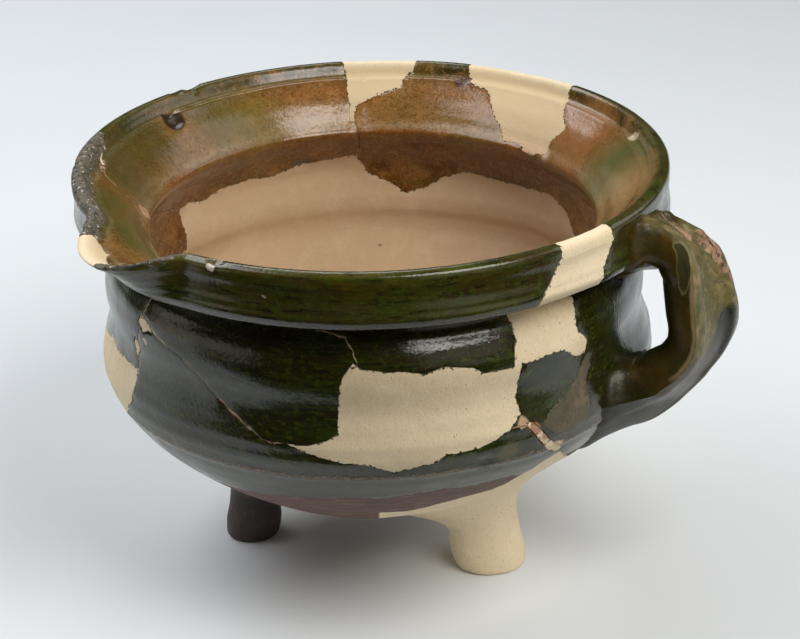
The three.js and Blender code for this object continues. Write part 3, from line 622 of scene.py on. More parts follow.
def wall_relief(x, y, inside):
    """How far the real surface stands off the smooth one, and how much of that is wheel ridges."""
    height = np.interp(y, flat_heights, sample_heights)
    azimuth = np.degrees(x / BELLY_RADIUS)
    place = on_drum(x, height)
    wave = height + 1.4 * lumps(place, 60, 31) + 0.8 * np.sin(np.radians(azimuth))
    ridges = sum(rise * np.sin(2 * pi * wave / pitch + shift) for rise, pitch, shift in WHEEL_RIDGES)
    ridges = ridges * (0.6 + 0.4 * lumps(place, 24, 32))
    body = ease(height, 36, 60) * (1 - ease(height, 122, 128))
    collar = ease(height, 131, 134) * (1 - ease(height, 148, 151))
    if inside:
        crest = 150
        ridges = ridges * (1.5 * body + 0.8 * collar)
        relief = ridges + 0.25 * lumps(place, 16, 34)
    else:
        crest = 149.5
        ridges = ridges * (body + 0.5 * collar)
        groove = turned_line(height, *BELLY_GROOVE) * (0.75 + 0.25 * lumps(place, 30, 35))
        girth = turned_line(height - 0.6 * lumps(place, 40, 36), *BELLY_RIDGE)
        relief = ridges + groove + girth + sum(turned_line(height, *line) for line in COLLAR_LINES)
        relief = relief + 0.42 * lumps(place, 30, 37) * body + 0.16 * lumps(place, 9, 38)
        relief = relief - COLLAR_WEAR * collar
    chips = chip_depth(place, azimuth, y, inside)
    return relief * (1 - ease(height, crest, RIM_HEIGHT)) - chips, ridges


# The glaze stops above the base in an uneven line: azimuth and height
GLAZE_LIMIT = [
    (0, 58), (60, 52), (120, 50), (180, 51), (215, 53.5), (230.3, 54.8), (241.3, 57.1), (251, 59.4),
    (260.7, 61.3), (273.3, 62.3), (279.4, 64.1), (300.3, 62.8), (330, 60), (360, 58),
]

point_count = len(flat_points)
flat_x, flat_y = flat_points.T

# Outlines of worn and torn places on the outside: azimuth and height
SCAR = [
    (315, 103.9), (312.1, 102.8), (310.8, 98), (308.4, 94.2), (304.7, 91.1), (301.4, 87.7), (300.8, 85.2),
    (303.4, 81.9), (306.4, 78.8), (309.6, 79.1), (312.6, 81.1), (313.6, 84.4), (313, 89.5), (312.9, 94.2),
    (314.6, 98),
]
LIP = [
    (164, 147.5), (186, 146.8), (205, 147.5), (222, 148.5), (231, 149.5), (236, 150.5), (240, 153),
    (160, 153),
]
# Distances on the wall are measured up to this many mm
FAR = 20.0


def inside_mark(outline):
    """Millimetres inside an outline on the flat, negative outside it."""
    corners = np.stack(flat_of(*np.array(outline, float).T), axis=-1)
    here = short_way(flat_points - (corners[0, 0], 0))
    corners[:, 0] -= corners[0, 0]
    nearest, within = np.full(point_count, FAR), np.zeros(point_count, bool)
    for a, b in zip(corners, np.roll(corners, -1, axis=0)):
        step = b - a
        share = np.clip((here - a) @ step / (step @ step), 0, 1)
        nearest = np.minimum(nearest, np.linalg.norm(here - a - share[:, None] * step, axis=1))
        crosses = (a[1] > here[:, 1]) != (b[1] > here[:, 1])
        rise = step[1] if step[1] else 1
        within ^= crosses & (here[:, 0] < a[0] + (here[:, 1] - a[1]) / rise * step[0])
    return np.where(within, nearest, -nearest)


scar, lip = inside_mark(SCAR), inside_mark(LIP)
on_crest = flat_y > FLAT_TOP - 1e-3
smooth_points = np.vstack([wall_point(flat_x, flat_y, False), wall_point(flat_x, flat_y, True)])
inner_index = np.where(on_crest, np.arange(point_count), np.arange(point_count) + point_count)


def point_normals(points, triangles):
    """The way out of the surface at each point, from the triangles round it."""
    a, b, c = (points[triangles[:, k]] for k in range(3))
    across = np.cross(b - a, c - a)
    normals = np.zeros_like(points)
    for k in range(3):
        np.add.at(normals, triangles[:, k], across)
    return unit(normals)


both_sides = np.vstack([wall_triangles, inner_index[wall_triangles[:, ::-1]]])
wall_normals = point_normals(smooth_points, both_sides)
outer_relief, outer_ridges = wall_relief(flat_x, flat_y, False)
inner_relief, inner_ridges = wall_relief(flat_x, flat_y, True)
relief = np.append(outer_relief, inner_relief)

# The sides of the triangles that lie along a break, and the piece on their other side
starts = wall_triangles.ravel().astype(np.int64)
ends = np.roll(wall_triangles, -1, axis=1).ravel().astype(np.int64)
side_owner = np.repeat(wall_owners, 3)
side_code = starts * point_count + ends
side_order = np.argsort(side_code)
back_code = ends * point_count + starts
found = np.minimum(np.searchsorted(side_code[side_order], back_code), len(side_code) - 1)
has_neighbour = side_code[side_order][found] == back_code
neighbour = np.where(has_neighbour, side_owner[side_order][found], -1)
on_break = has_neighbour & (neighbour != side_owner)
is_plaster = np.array([finish == "plaster" for _, _, finish in WALL_PIECES])
on_crack = on_break & ~is_plaster[side_owner] & ~is_plaster[neighbour]


def distance_to(sides):
    """How far each point of the flat is from these breaks, measured on the outside."""
    marks = smooth_points[np.unique(starts[sides])]
    tree = kdtree.KDTree(len(marks))
    for at, mark in enumerate(marks):
        tree.insert(mark, at)
    tree.balance()
    away = np.array([tree.find(p)[2] for p in smooth_points[:point_count]])
    return np.minimum(away, FAR)


from_edge = distance_to(on_break)
from_crack = distance_to(on_crack)

# Breaks that opened or chipped: azimuth, level, reach in mm, and how much wider they are
OPEN_CRACKS = [
    (217.5, 1.85, 16, 0.35), (215.5, 1.5, 12, 0.3), (222, 1.65, 11, 0.5), (243, 1.22, 16, 0.25),
    (253, 1.975, 12, 0.3), (264.5, 1.88, 9, 0.25), (266, 1.72, 7, 0.25), (301, 1.0, 10, 0.2),
    (169, 2.8, 14, 0.25),
]
# Half the width of the other joins, in plaster and between two sherds
FILL_GAP, SHERD_GAP = 0.05, 0.1


def break_gap(points, own, other):
    """Half the width of the join between two pieces of the wall."""
    gap = np.where(is_plaster[own] | is_plaster[other], FILL_GAP, SHERD_GAP)
    for azimuth, level, reach, wider in OPEN_CRACKS:
        x, y = flat_of(azimuth, level_height(level))
        near = np.clip(1 - np.hypot(*short_way(points - (x, y)).T) / reach, 0, 1)
        gap = np.maximum(gap, wider * near ** 0.5)
    return gap


# Edges sharper than this, in degrees, stay sharp
SHARP_EDGE = 40


def make_mesh(name, points, faces, finish, values=None):
    """A mesh from points in mm, kept inside the box of the solids, that rides on the one body."""
    mesh = bpy.data.meshes.new(name)
    placed = np.clip((points + AXIS) * MM, cad_box[0], cad_box[1])
    mesh.from_pydata(placed.tolist(), [], faces)
    for key, value in (values or {}).items():
        mesh.attributes.new(key, "FLOAT", "POINT").data.foreach_set("value", value.astype(np.float32))
    mesh.shade_smooth()
    mesh.set_sharp_from_angle(angle=radians(SHARP_EDGE))
    mesh.materials.append(finish)
    piece = bpy.data.objects.new(name, mesh)
    bpy.context.scene.collection.objects.link(piece)
    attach(piece, "root")
    return piece


def shown(name, points, faces, finish, values=None):
    """The visible mesh of one of the solids."""
    piece = make_mesh(name + "_shown", points, faces, finish, values)
    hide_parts(name)
    return piece


# Rows of faces through a break, and how much its edges are rounded, in plaster and in clay
BREAK_ROWS = 4
FILL_ROUNDING, SHERD_ROUNDING = 0.05, 0.13


def opened_wall(number, sides, plaster):
    """The wall's points as one piece has them, drawn back from the breaks, and those on its border."""
    side_from, side_to = starts[sides], ends[sides]
    step = short_way(flat_points[side_to] - flat_points[side_from])
    inward = unit(np.stack([-step[:, 1], step[:, 0]], axis=-1))
    gap = break_gap(flat_points[side_from], number, neighbour[sides])
    shift, wide = np.zeros((point_count, 2)), np.zeros(point_count)
    for ends_here in (side_from, side_to):
        np.add.at(shift, ends_here, inward)
        np.maximum.at(wide, ends_here, gap)
    shift = unit(shift) * wide[:, None]
    shift[on_crest, 1] = 0
    border = np.unique(np.append(side_from, side_to))
    at_border = flat_points[border] + shift[border]
    points = smooth_points.copy()
    points[border] = wall_point(*at_border.T, False)
    points[inner_index[border]] = wall_point(*at_border.T, True)
    lift = relief.copy()
    if plaster:
        place = on_drum(flat_x, flat_y)
        set_back = -0.22 + 0.18 * lumps(place, 14, 41) + 0.07 * lumps(place, 4, 42)
        set_back = set_back * ease(from_edge, 0, 5) - 0.12
        lift = lift * 0.6 + np.append(set_back, set_back)
    lift[np.union1d(border, inner_index[border])] -= FILL_ROUNDING if plaster else SHERD_ROUNDING
    return points + wall_normals * lift[:, None], border


def break_faces(points, border, sides, kept, new_index):
    """The break: a column of points through the wall under each point of the border, and its faces."""
    column, through = {}, []
    for outer in border:
        inner = inner_index[outer]
        rows = [new_index[outer]]
        for row in range(1, BREAK_ROWS):
            if outer == inner:
                rows.append(rows[0])
                continue
            share = row / BREAK_ROWS
            through.append(points[outer] * (1 - share) + points[inner] * share)
            rows.append(len(kept) + len(through) - 1)
        column[outer] = rows + [new_index[inner]]
    faces = []
    for a, b in zip(starts[sides], ends[sides]):
        one, two = column[a], column[b]
        for row in range(BREAK_ROWS):
            corners = [two[row], one[row], one[row + 1], two[row + 1]]
            corners = [c for k, c in enumerate(corners) if c != corners[k - 1]]
            if len(corners) > 2:
                faces.append(corners)
    through = np.array(through).reshape(-1, 3)
    for axis in range(3):
        through[:, axis] += 0.16 * lumps(through, 2.2, 51 + axis)
    return through, faces


def wall_marks(kept, break_count):
    """What the finishes need to know of each point: how far it is down the wall from the crest (less
    than nothing inside), from breaks and cracks, and inside the bare and worn places."""
    at = np.where(kept < point_count, kept, kept - point_count)
    inside = kept >= point_count
    height = np.interp(flat_y, flat_heights, sample_heights)[at]
    azimuth = np.degrees(flat_x[at] / BELLY_RADIUS) % 360
    down = np.where(inside, np.interp(height, sample_heights, inside_run) - inside_run[-1],
                    outside_run[-1] - np.interp(height, sample_heights, outside_run))
    limit = np.interp(azimuth, *np.array(GLAZE_LIMIT).T)
    rows = [
        ("down", down, 0), ("edge", from_edge[at], 0), ("crack", from_crack[at], 0),
        ("ridge", np.append(outer_ridges, inner_ridges)[kept], 0),
        ("bare", np.where(inside, -3 * FAR, limit - height), 0), ("broken", np.zeros(len(kept)), 1),
        ("scar", np.where(inside, -FAR, scar[at]), -FAR), ("lip", lip[at], -FAR),
    ]
    return {name: np.append(value, np.full(break_count, on_faces)) for name, value, on_faces in rows}


def wall_piece(number, name, slot, finish):
    """One broken-out piece of the wall: its outside, its inside and the break all round it."""
    triangles = wall_triangles[wall_owners == number]
    sides = on_break & (side_owner == number)
    points, border = opened_wall(number, sides, slot == "plaster")
    used = np.unique(triangles)
    kept = np.unique(np.append(used, inner_index[used]))
    new_index = np.full(2 * point_count, -1)
    new_index[kept] = np.arange(len(kept))
    through, faces = break_faces(points, border, sides, kept, new_index)
    skins = new_index[triangles].tolist() + new_index[inner_index[triangles[:, ::-1]]].tolist()
    shown(name, np.vstack([points[kept], through]), skins + faces, finish,
          wall_marks(kept, len(through)))


def wall_depth(points):
    """How deep points lie under the pot's outside, and the way straight out from there."""
    x, y, z = points.T
    reach = np.hypot(x, y)
    azimuth = np.degrees(np.arctan2(y, x))
    radius = wall_section(np.maximum(z, BELLY_HEIGHT), False)[0]
    out = np.hypot(*pressed(radius, np.maximum(z, BELLY_HEIGHT), azimuth)[:, :2].T)
    level_way = np.stack([x, y, 0 * z], axis=-1) / np.maximum(reach, 1e-6)[:, None]
    down = np.maximum(BELLY_HEIGHT - z, 0)
    share = (reach / BELLY_RADIUS) ** BOWL_ROUNDNESS
    share = share + (down / (BELLY_HEIGHT - BASE_CLEARANCE)) ** BOWL_ROUNDNESS
    share = share ** (1 / BOWL_ROUNDNESS)
    from_middle = np.stack([x, y, -down], axis=-1)
    length = np.linalg.norm(from_middle, axis=1)
    below = z < BELLY_HEIGHT
    depth = np.where(below, (1 / np.maximum(share, 1e-6) - 1) * length, out - reach)
    way = np.where(below[:, None], from_middle / np.maximum(length, 1e-6)[:, None], level_way)
    return depth, way


def keep_in_wall(points, deepest):
    """Brings what would show inside the pot back into the thickness of the wall."""
    depth, way = wall_depth(points)
    return points + way * np.maximum(depth - deepest, 0)[:, None]


# The strap handle. Each row: share of the standout that its middle is clear of the wall, level,
# shares of the width on the near and the far side, share of the thickness, dish left, and twist.
STRAP_STATIONS = [
    (-0.467, 2.52, 0.6, 0.5, 1.5, 0, 14), (-0.178, 2.6, 0.58, 0.5, 1.45, 0.2, 18),
    (0.09, 2.6, 0.56, 0.47, 1.3, 0.6, 20), (0.34, 2.45, 0.54, 0.44, 1.2, 1, 17),
    (0.56, 2.19, 0.52, 0.46, 1.15, 1, 10), (0.72, 1.92, 0.5, 0.5, 1.15, 1, 3),
    (0.825, 1.704, 0.5, 0.52, 1.15, 1, -2), (0.9, 1.518, 0.5, 0.52, 1.15, 0.9, -4),
    (0.9, 1.34, 0.5, 0.52, 1.15, 0.8, -6), (0.8, 1.16, 0.51, 0.52, 1.2, 0.6, -8),
    (0.625, 0.99, 0.56, 0.5, 1.35, 0.4, -11), (0.475, 0.88, 0.66, 0.54, 1.45, 0.2, -16),
    (0.37, 0.79, 0.8, 0.6, 1.55, 0, -20), (0.28, 0.7, 0.9, 0.66, 1.6, 0, -21),
    (0.15, 0.62, 0.9, 0.68, 1.5, 0, -18), (-0.06, 0.56, 0.8, 0.64, 1.3, 0, -10),
    (-0.33, 0.5, 0.6, 0.5, 1, 0, 0),
]
# Its section: shares of the half width, of the thickness, and of the dish's depth
STRAP_SECTION = [
    (-0.97, 0.06, 0), (-0.8, 0, 0), (-0.45, 0, 0.7), (0, 0, 1), (0.45, 0, 0.7), (0.8, 0, 0),
    (0.97, 0.06, 0), (1, 0.3, 0), (0.93, 0.75, 0), (0.72, 0.98, 0), (0, 1, 0), (-0.72, 0.98, 0),
    (-0.93, 0.75, 0), (-1, 0.3, 0),
]


def tube_faces(rows, ring):
    """Faces of a closed tube of points, with a cap at each end."""
    faces = []
    for row in range(rows - 1):
        for at in range(ring):
            beside = (at + 1) % ring
            faces.append([row * ring + at, (row + 1) * ring + at, (row + 1) * ring + beside,
                          row * ring + beside])
    last = (rows - 1) * ring
    faces.append(list(range(ring)))
    faces.append([last + at for at in reversed(range(ring))])
    return faces


STRAP_STEPS = 8
STATION_SPACING = 3.0
# Where the strap comes within the first distance of the wall it is spread by the second, and within
# the third of the wall's surface it is lifted by up to the fourth, in mm
LUTING_REACH, LUTING_SPREAD, SKIN_REACH, SKIN_LIFT = 8.0, 3.2, 3.2, 0.9
# How deep the strap's ends and the feet's tops may go into the wall
STRAP_BEDDED, FOOT_BEDDED = 3.5, 3.0
# Where the glaze flaked off along the strap's far edge: station, and the shares of the half width
# between which the clay is bare
FLAKED_BAND = [
    (1.0, 0.0, 0.0), (1.4, -0.12, 0.1), (2.0, 0.0, 0.22), (3.0, 0.05, 0.45), (3.6, 0.15, 1.0),
    (4.0, 0.3, 1.3), (5.0, 0.52, 1.3), (6.0, 0.82, 1.3), (7.0, 0.9, 1.3), (8.0, 0.95, 1.3),
    (9.0, 1.02, 1.3),
]
# The leaf-shaped hollow on the near side face and the pool of glaze on the outer face: station of the
# middle, half length in stations, middle and half width as shares of the section
LEAF = (4.0, 1.15, 0.25, 0.2)
LEAF_SLOPE = 0.09
POOL = (7.9, 1.4, 0.55, 0.45)
# How deep the flaked clay and the leaf lie below the glaze, and what the strap is taken down by, in mm
FLAKE_DEPTH, LEAF_DEPTH, STRAP_WEAR = 0.9, 1.1, 0.2


def strap_points(section):
    """The strap's section at each of its stations."""
    knots = [(k * STATION_SPACING,) + row for k, row in enumerate(STRAP_STATIONS)]
    clear, level, near, far, thick, dish, twist = smooth_line(knots, STRAP_STEPS)[:, 1:].T
    turn = radians(HANDLE_AZIMUTH)
    outwards = np.array([cos(turn), sin(turn), 0])
    across = np.array([-sin(turn), cos(turn), 0])
    height = level_height(level)
    flared = BELLY_RADIUS + (COLLAR_RADIUS - BELLY_RADIUS) * (level - 1) / 2
    reach = np.where(level > 1, flared, bowl_radius(height)) + clear * HANDLE_STANDOUT
    spine = outwards * reach[:, None] + np.array([0, 0, 1]) * height[:, None]
    along = unit(np.gradient(spine, axis=0))
    face = unit(np.cross(along, across))
    tilt = np.radians(twist)[:, None]
    width = across * np.cos(tilt) - face * np.sin(tilt)
    depth = unit(np.cross(width, along))
    side, inwards, dip = section.T[:, None]
    dish, thick = dish[:, None], thick[:, None]
    beside = side * STRAP_WIDTH * np.where(side < 0, near[:, None], far[:, None])
    wrapped = (1 - dish) * beside ** 2 / (2 * BELLY_RADIUS)
    sunk = wrapped + STRAP_THICKNESS * (inwards * thick + dip * dish * STRAP_DISH)
    return spine[:, None] + width[:, None] * beside[..., None] + depth[:, None] * sunk[..., None]


def strap_marks(rows, section):
    """Where each point is on the strap, and how far inside the worn places."""
    side, inwards, _ = section.T
    station = np.repeat(np.arange(rows) / STRAP_STEPS, len(section))
    across, deep = np.tile(side, rows), np.tile(inwards, rows)
    at, low, high = np.array(FLAKED_BAND).T
    flaked = np.minimum(across - np.interp(station, at, low), np.interp(station, at, high) - across)
    middle, length, rest, width = LEAF
    rest = rest + LEAF_SLOPE * (station - middle)
    leaf = np.where(across < -0.5, 1 - np.hypot((station - middle) / length, (deep - rest) / width), -1)
    middle, length, rest, width = POOL
    pooled = np.where(deep < 0.4, 1 - np.hypot((station - middle) / length, (across - rest) / width), -1)
    return {"across": across, "deep": deep, "station": station, "flaked": flaked, "leaf": leaf,
            "pooled": pooled}


def strap_handle(finish):
    """The strap, dished outside, smeared onto the wall at both roots, lumpy and worn."""
    section = smooth_line(STRAP_SECTION + STRAP_SECTION[:1], 5)[:-1]
    points = strap_points(section)
    grown = (points - points.mean(axis=1, keepdims=True)).reshape(-1, 3)
    rows, points = len(points), points.reshape(-1, 3)
    mark = strap_marks(rows, section)
    gap, way = wall_depth(points)
    smeared = np.clip(1 + gap / LUTING_REACH, 0, 1) ** 2
    spread = unit(grown - way * np.sum(grown * way, axis=1)[:, None], 1e-6)
    points = points + spread * (LUTING_SPREAD * smeared)[:, None]
    gap, way = wall_depth(points)
    lift = SKIN_LIFT * np.clip(1 - (gap / SKIN_REACH) ** 2, 0, 1) ** 2
    points = points + way * lift[:, None]
    rough = (0.35 * lumps(points, 17, 61) + 0.2 * lumps(points, 6, 62)) * ease(-gap, 0, 5)
    flakes = FLAKE_DEPTH * ease(mark["flaked"], -0.02, 0.14) * (0.6 + 0.4 * lumps(points, 4.0, 63))
    sunk = flakes + LEAF_DEPTH * np.clip(mark["leaf"], 0, 1)
    points = points + unit(grown, 1e-6) * (rough - STRAP_WEAR - sunk)[:, None]
    points = keep_in_wall(points, STRAP_BEDDED)
    shown("strap_handle", points, tube_faces(rows, len(section)), finish, mark)


# The feet: shares of the sole's radius and of the foot's height, from the sole up. The top is
# splayed against the bowl.
FOOT_SHARES = [
    (0.86, 0.0), (0.95, 0.04), (0.99, 0.12), (1, 0.2), (0.93, 0.36), (0.92, 0.48), (1, 0.57),
    (1.18, 0.65), (1.5, 0.73), (1.85, 0.8), (2.2, 0.88), (2.5, 1),
]
# Name, finish, radius of the sole, azimuth and reach of the sole and of the top, share of the splay
FEET = [
    ("right_foot", "plaster", 14.0, (-34, 46.5), (-38, 42), 1.0),
    ("left_foot", "burnt_clay", 10.6, (175.5, 50), (177, 46), 0.5),
    ("back_foot", "plaster", 10.6, (70, 49), (70, 45), 0.5),
]
FOOT_COLUMNS = 96


def foot_piece(name, slot, sole_radius, sole, top, flare, finish):
    """A foot, squeezed by hand, with a flat sole and its top luted to the bowl."""
    outwards, upwards = smooth_line(FOOT_SHARES, 6).T
    outwards = np.where(outwards > 1, 1 + (outwards - 1) * flare, outwards)
    outwards = np.append([0, 0.3, 0.6], outwards)
    upwards = np.append([0, 0, 0], np.maximum(upwards, 0))
    ring = FOOT_COLUMNS
    turn = np.linspace(0, 2 * pi, ring, endpoint=False)
    height = np.repeat(upwards, ring) * FOOT_HEIGHT
    radius = np.repeat(outwards, ring) * sole_radius
    round_it = np.tile(turn, len(upwards))
    share = (height / FOOT_HEIGHT)[:, None]
    foot_at, top_at = (np.array([r * cos(radians(a)), r * sin(radians(a))]) for a, r in (sole, top))
    middle = foot_at * (1 - share) + top_at * share
    place = np.stack([np.cos(round_it) * radius, np.sin(round_it) * radius, height], axis=-1)
    worn = 0.5 * lumps(place + foot_at.sum(), 13, 71) + 0.22 * lumps(place + foot_at.sum(), 5, 72)
    radius = np.maximum(radius + (worn - 0.3) * (radius > 0.5 * sole_radius), 0)
    x = middle[:, 0] + np.cos(round_it) * radius
    y = middle[:, 1] + np.sin(round_it) * radius
    beyond = np.hypot(x, y) - np.linalg.norm(middle, axis=1)
    z = height + beyond * LUTING_SLOPE * ease(height / FOOT_HEIGHT, LUTING_START, LUTING_END)
    points = keep_in_wall(np.stack([x, y, z], axis=-1), FOOT_BEDDED)
    piece = shown(name, points, tube_faces(len(upwards), ring)[:-2], finish)
    edit = bmesh.new()
    edit.from_mesh(piece.data)
    bmesh.ops.remove_doubles(edit, verts=edit.verts, dist=0.01 * MM)
    bmesh.ops.holes_fill(edit, edges=edit.edges)
    bmesh.ops.recalc_face_normals(edit, faces=edit.faces)
    edit.to_mesh(piece.data)
    edit.free()


# The conservator's filler stands a little below the glaze in the cracks between the sherds
CRACKS = [
    ("spout_crack", SPOUT_CRACK), ("spout_break", SPOUT_BREAK), ("groove_break", GROOVE_BREAK),
    ("front_crack", FRONT_CRACK), ("slant_crack", SLANT_CRACK), ("shoulder_crack", SHOULDER_CRACK),
    ("belly_crack", BELLY_CRACK), ("back_crack", BACK_CRACK), ("right_crack", RIGHT_CRACK),
    ("root_break", ROOT_BREAK),
]
# Its section, to either side of the crack and down from the surface, in mm
FILLER_SECTION = [(-0.7, 0.34), (0.7, 0.34), (0.7, 1.6), (-0.7, 1.6)]


def crack_filler(name, line, finish, inside=False):
    """A thread of filler along a crack, on one side of the wall."""
    centre = break_line([p for p in line if p[1] < 3], False)[1:-1]
    step = np.gradient(centre, axis=0)
    beside = np.stack([-step[:, 1], step[:, 0]], axis=-1) / np.linalg.norm(step, axis=1)[:, None]
    corners = []
    for sideways, deep in FILLER_SECTION:
        x, y = (centre + beside * sideways).T
        surface, behind = wall_point(x, y, inside), wall_point(x, y, not inside)
        way = behind - surface
        way /= np.linalg.norm(way, axis=1)[:, None]
        sunk = deep + 0.1 * lumps(surface, 3, 81) - wall_relief(x, y, inside)[0]
        corners.append(surface + way * sunk[:, None])
    points = np.stack(corners, axis=1).reshape(-1, 3)
    faces = tube_faces(len(centre), len(FILLER_SECTION))
    if inside:
        faces = [face[::-1] for face in faces]
    piece = make_mesh(name + "_filler", points, faces, finish)


# Finishes. A finish's places are millimetres in the frame.
def linear(colour):
    """An sRGB hex colour as the linear colour that shaders take."""
    parts = [int(colour[k:k + 2], 16) / 255 for k in (1, 3, 5)]
    return [p / 12.92 if p <= 0.04045 else ((p + 0.055) / 1.055) ** 2.4 for p in parts] + [1]


def add(tree, kind, inputs=None, out=0, stops=(), **settings):
    """Adds a shader node with its settings, colour stops and inputs, and gives one of its outputs."""
    node = tree.nodes.new("ShaderNode" + kind)
    for key, value in settings.items():
        setattr(node, key, value)
    for number, (at, colour) in enumerate(stops):
        elements = node.color_ramp.elements
        element = elements[number] if number < 2 else elements.new(at)
        element.position = at
        element.color = linear(colour)
    for key, value in (inputs or {}).items():
        if isinstance(value, bpy.types.NodeSocket):
            tree.links.new(value, node.inputs[key])
        else:
            node.inputs[key].default_value = value
    return node.outputs[out] if node.outputs else None


def new_finish(name):
    finish = bpy.data.materials.new(name)
    finish.use_nodes = True
    finish.node_tree.nodes.clear()
    tree = finish.node_tree
    add(tree, "VectorMath", {0: add(tree, "TexCoord", out=3), "Scale": 1 / MM}, operation="SCALE",
        name="place")
    return finish, tree


def place_of(tree):
    return tree.nodes["place"].outputs[0]


def shader_end(tree, colour, roughness, normal, ior):
    surface = add(tree, "BsdfPrincipled",
                  {"Base Color": colour, "Roughness": roughness, "Normal": normal, "IOR": ior})
    add(tree, "OutputMaterial", {"Surface": surface})


def marks(tree, *names):
    """The values that a mesh carries for its points."""
    return {name: add(tree, "Attribute", out=2, attribute_name=name) for name in names}


def noise(tree, size, detail, out=0):
    return add(tree, "TexNoise", {"Vector": place_of(tree), "Scale": 1 / size, "Detail": detail}, out=out)


def maths(tree, operation, *values):
    return add(tree, "Math", dict(enumerate(values)), operation=operation)


def product(tree, first, *others):
    for other in others:
        first = maths(tree, "MULTIPLY", first, other)
    return first


def away_from(tree, value, middle):
    """How far a value is from the middle, either way."""
    return maths(tree, "ABSOLUTE", maths(tree, "SUBTRACT", value, middle))


def faded(tree, value, low, high, strength=1.0, start=0.0):
    """Runs from start to strength while the value runs from low to high."""
    return add(tree, "MapRange", {"Value": value, "From Min": low, "From Max": high, "To Min": start,
                                  "To Max": strength})


def uneven(tree, value, size, reach):
    """A value shifted by a noise, by up to the reach either way."""
    shift = faded(tree, noise(tree, size, 3.0), 0.3, 0.7, reach, -reach)
    return maths(tree, "ADD", value, shift)


def ragged(tree, size, reach):
    """Shifts places by a noise, so that what is drawn over them gets a ragged outline."""
    shift = add(tree, "VectorMath", {0: noise(tree, size, 3.0, out=1), 1: (0.5, 0.5, 0.5)},
                operation="SUBTRACT")
    return add(tree, "VectorMath", {0: shift, 1: (reach * 2,) * 3, 2: place_of(tree)},
               operation="MULTIPLY_ADD")


def over(tree, share, base, colour):
    """Lays a colour over a base. A number stands for a grey."""
    if isinstance(colour, str):
        colour = linear(colour)
    elif isinstance(colour, float):
        colour = (colour, colour, colour, 1)
    return add(tree, "MixRGB", {"Fac": share, "Color1": base, "Color2": colour})


def patches(tree, base, rows):
    """Lays patches of colour over a base. Each row: size of the patches in mm, how flat they are,
    detail, the noise values between which they fade in, their strength, colour, and seed."""
    for size, flatness, detail, low, high, strength, colour, seed in rows:
        spot = add(tree, "Mapping", {0: place_of(tree), "Location": (seed * 37.0, seed * 11.0, seed * 23.0),
                                     "Scale": (1 / size, 1 / size, flatness / size)})
        grain = add(tree, "TexNoise", {"Vector": spot, "Scale": 1.0, "Detail": detail, "Roughness": 0.6})
        base = over(tree, faded(tree, grain, low, high, strength), base, colour)
    return base


def spots(tree, place, base, rows):
    """Single spots over a base. Each row: place, reach in mm, width of the soft edge, strength, colour."""
    for where, reach, soft, strength, colour in rows:
        away = add(tree, "VectorMath", {0: place, 1: where}, out=1, operation="DISTANCE")
        base = over(tree, faded(tree, away, reach, reach - soft, strength), base, colour)
    return base


def wall_spots(tree, place, base, inside, rows):
    """Single spots on the wall. Each row: azimuth and height, and the rest as for spots."""
    placed = []
    for azimuth, height, *look in rows:
        placed.append((tuple(wall_point(*flat_of(azimuth, height), inside) + AXIS), *look))
    return spots(tree, place, base, placed)


def small_relief(tree, fine, wide, strength, distance):
    """The bump of a surface: fine grain, given by size and detail, over wider unevenness."""
    raised = maths(tree, "MULTIPLY_ADD", noise(tree, wide, 3.0), 1.6, noise(tree, *fine))
    return add(tree, "Bump", {"Height": raised, "Strength": strength, "Distance": distance})


def glaze_outside(tree, down):
    """Green, from the crest of the rim down: brown at the crest, and near black on the collar's lower edge
    and underside as painted shade under the overhang.
    """
    down = uneven(tree, down, 9.0, 2.0)
    # The stops from 0.132 to 0.21 darken the collar's lower edge and underside to near black: painted shade
    # under the collar's overhang.
    base = add(tree, "ValToRGB", {"Fac": faded(tree, down, 0.0, 160.0)}, stops=[
        (0.0, "#4e4b26"), (0.018, "#504a1c"), (0.035, "#4a3f0f"), (0.06, "#413a11"), (0.085, "#3b3918"),
        (0.115, "#45461f"), (0.132, "#2e2f13"), (0.155, "#0f1008"), (0.21, "#111208"), (0.235, "#1f1b08"),
        (0.29, "#24230a"), (0.36, "#20240a"), (0.48, "#1f2509"), (0.62, "#23280d"), (0.8, "#26281a")])
    return patches(tree, base, [
        (44, 1.4, 3, 0.44, 0.6, 0.6, "#2c210a", 1), (26, 2.4, 4, 0.5, 0.64, 0.6, "#2f3d0b", 2),
        (17, 3.0, 4, 0.52, 0.66, 0.55, "#35250a", 3), (22, 9.0, 4, 0.5, 0.6, 0.6, "#33390f", 4),
        (12, 8.0, 4, 0.52, 0.62, 0.65, "#120f05", 5), (3.2, 1.8, 3, 0.54, 0.66, 0.6, "#3f4f12", 6),
        (1.6, 1.4, 3, 0.56, 0.68, 0.5, "#161a06", 7), (1.0, 1.0, 2, 0.62, 0.72, 0.5, "#4d5a20", 9),
        (1.2, 1.0, 2, 0.735, 0.78, 0.45, "#7d7a56", 8)])


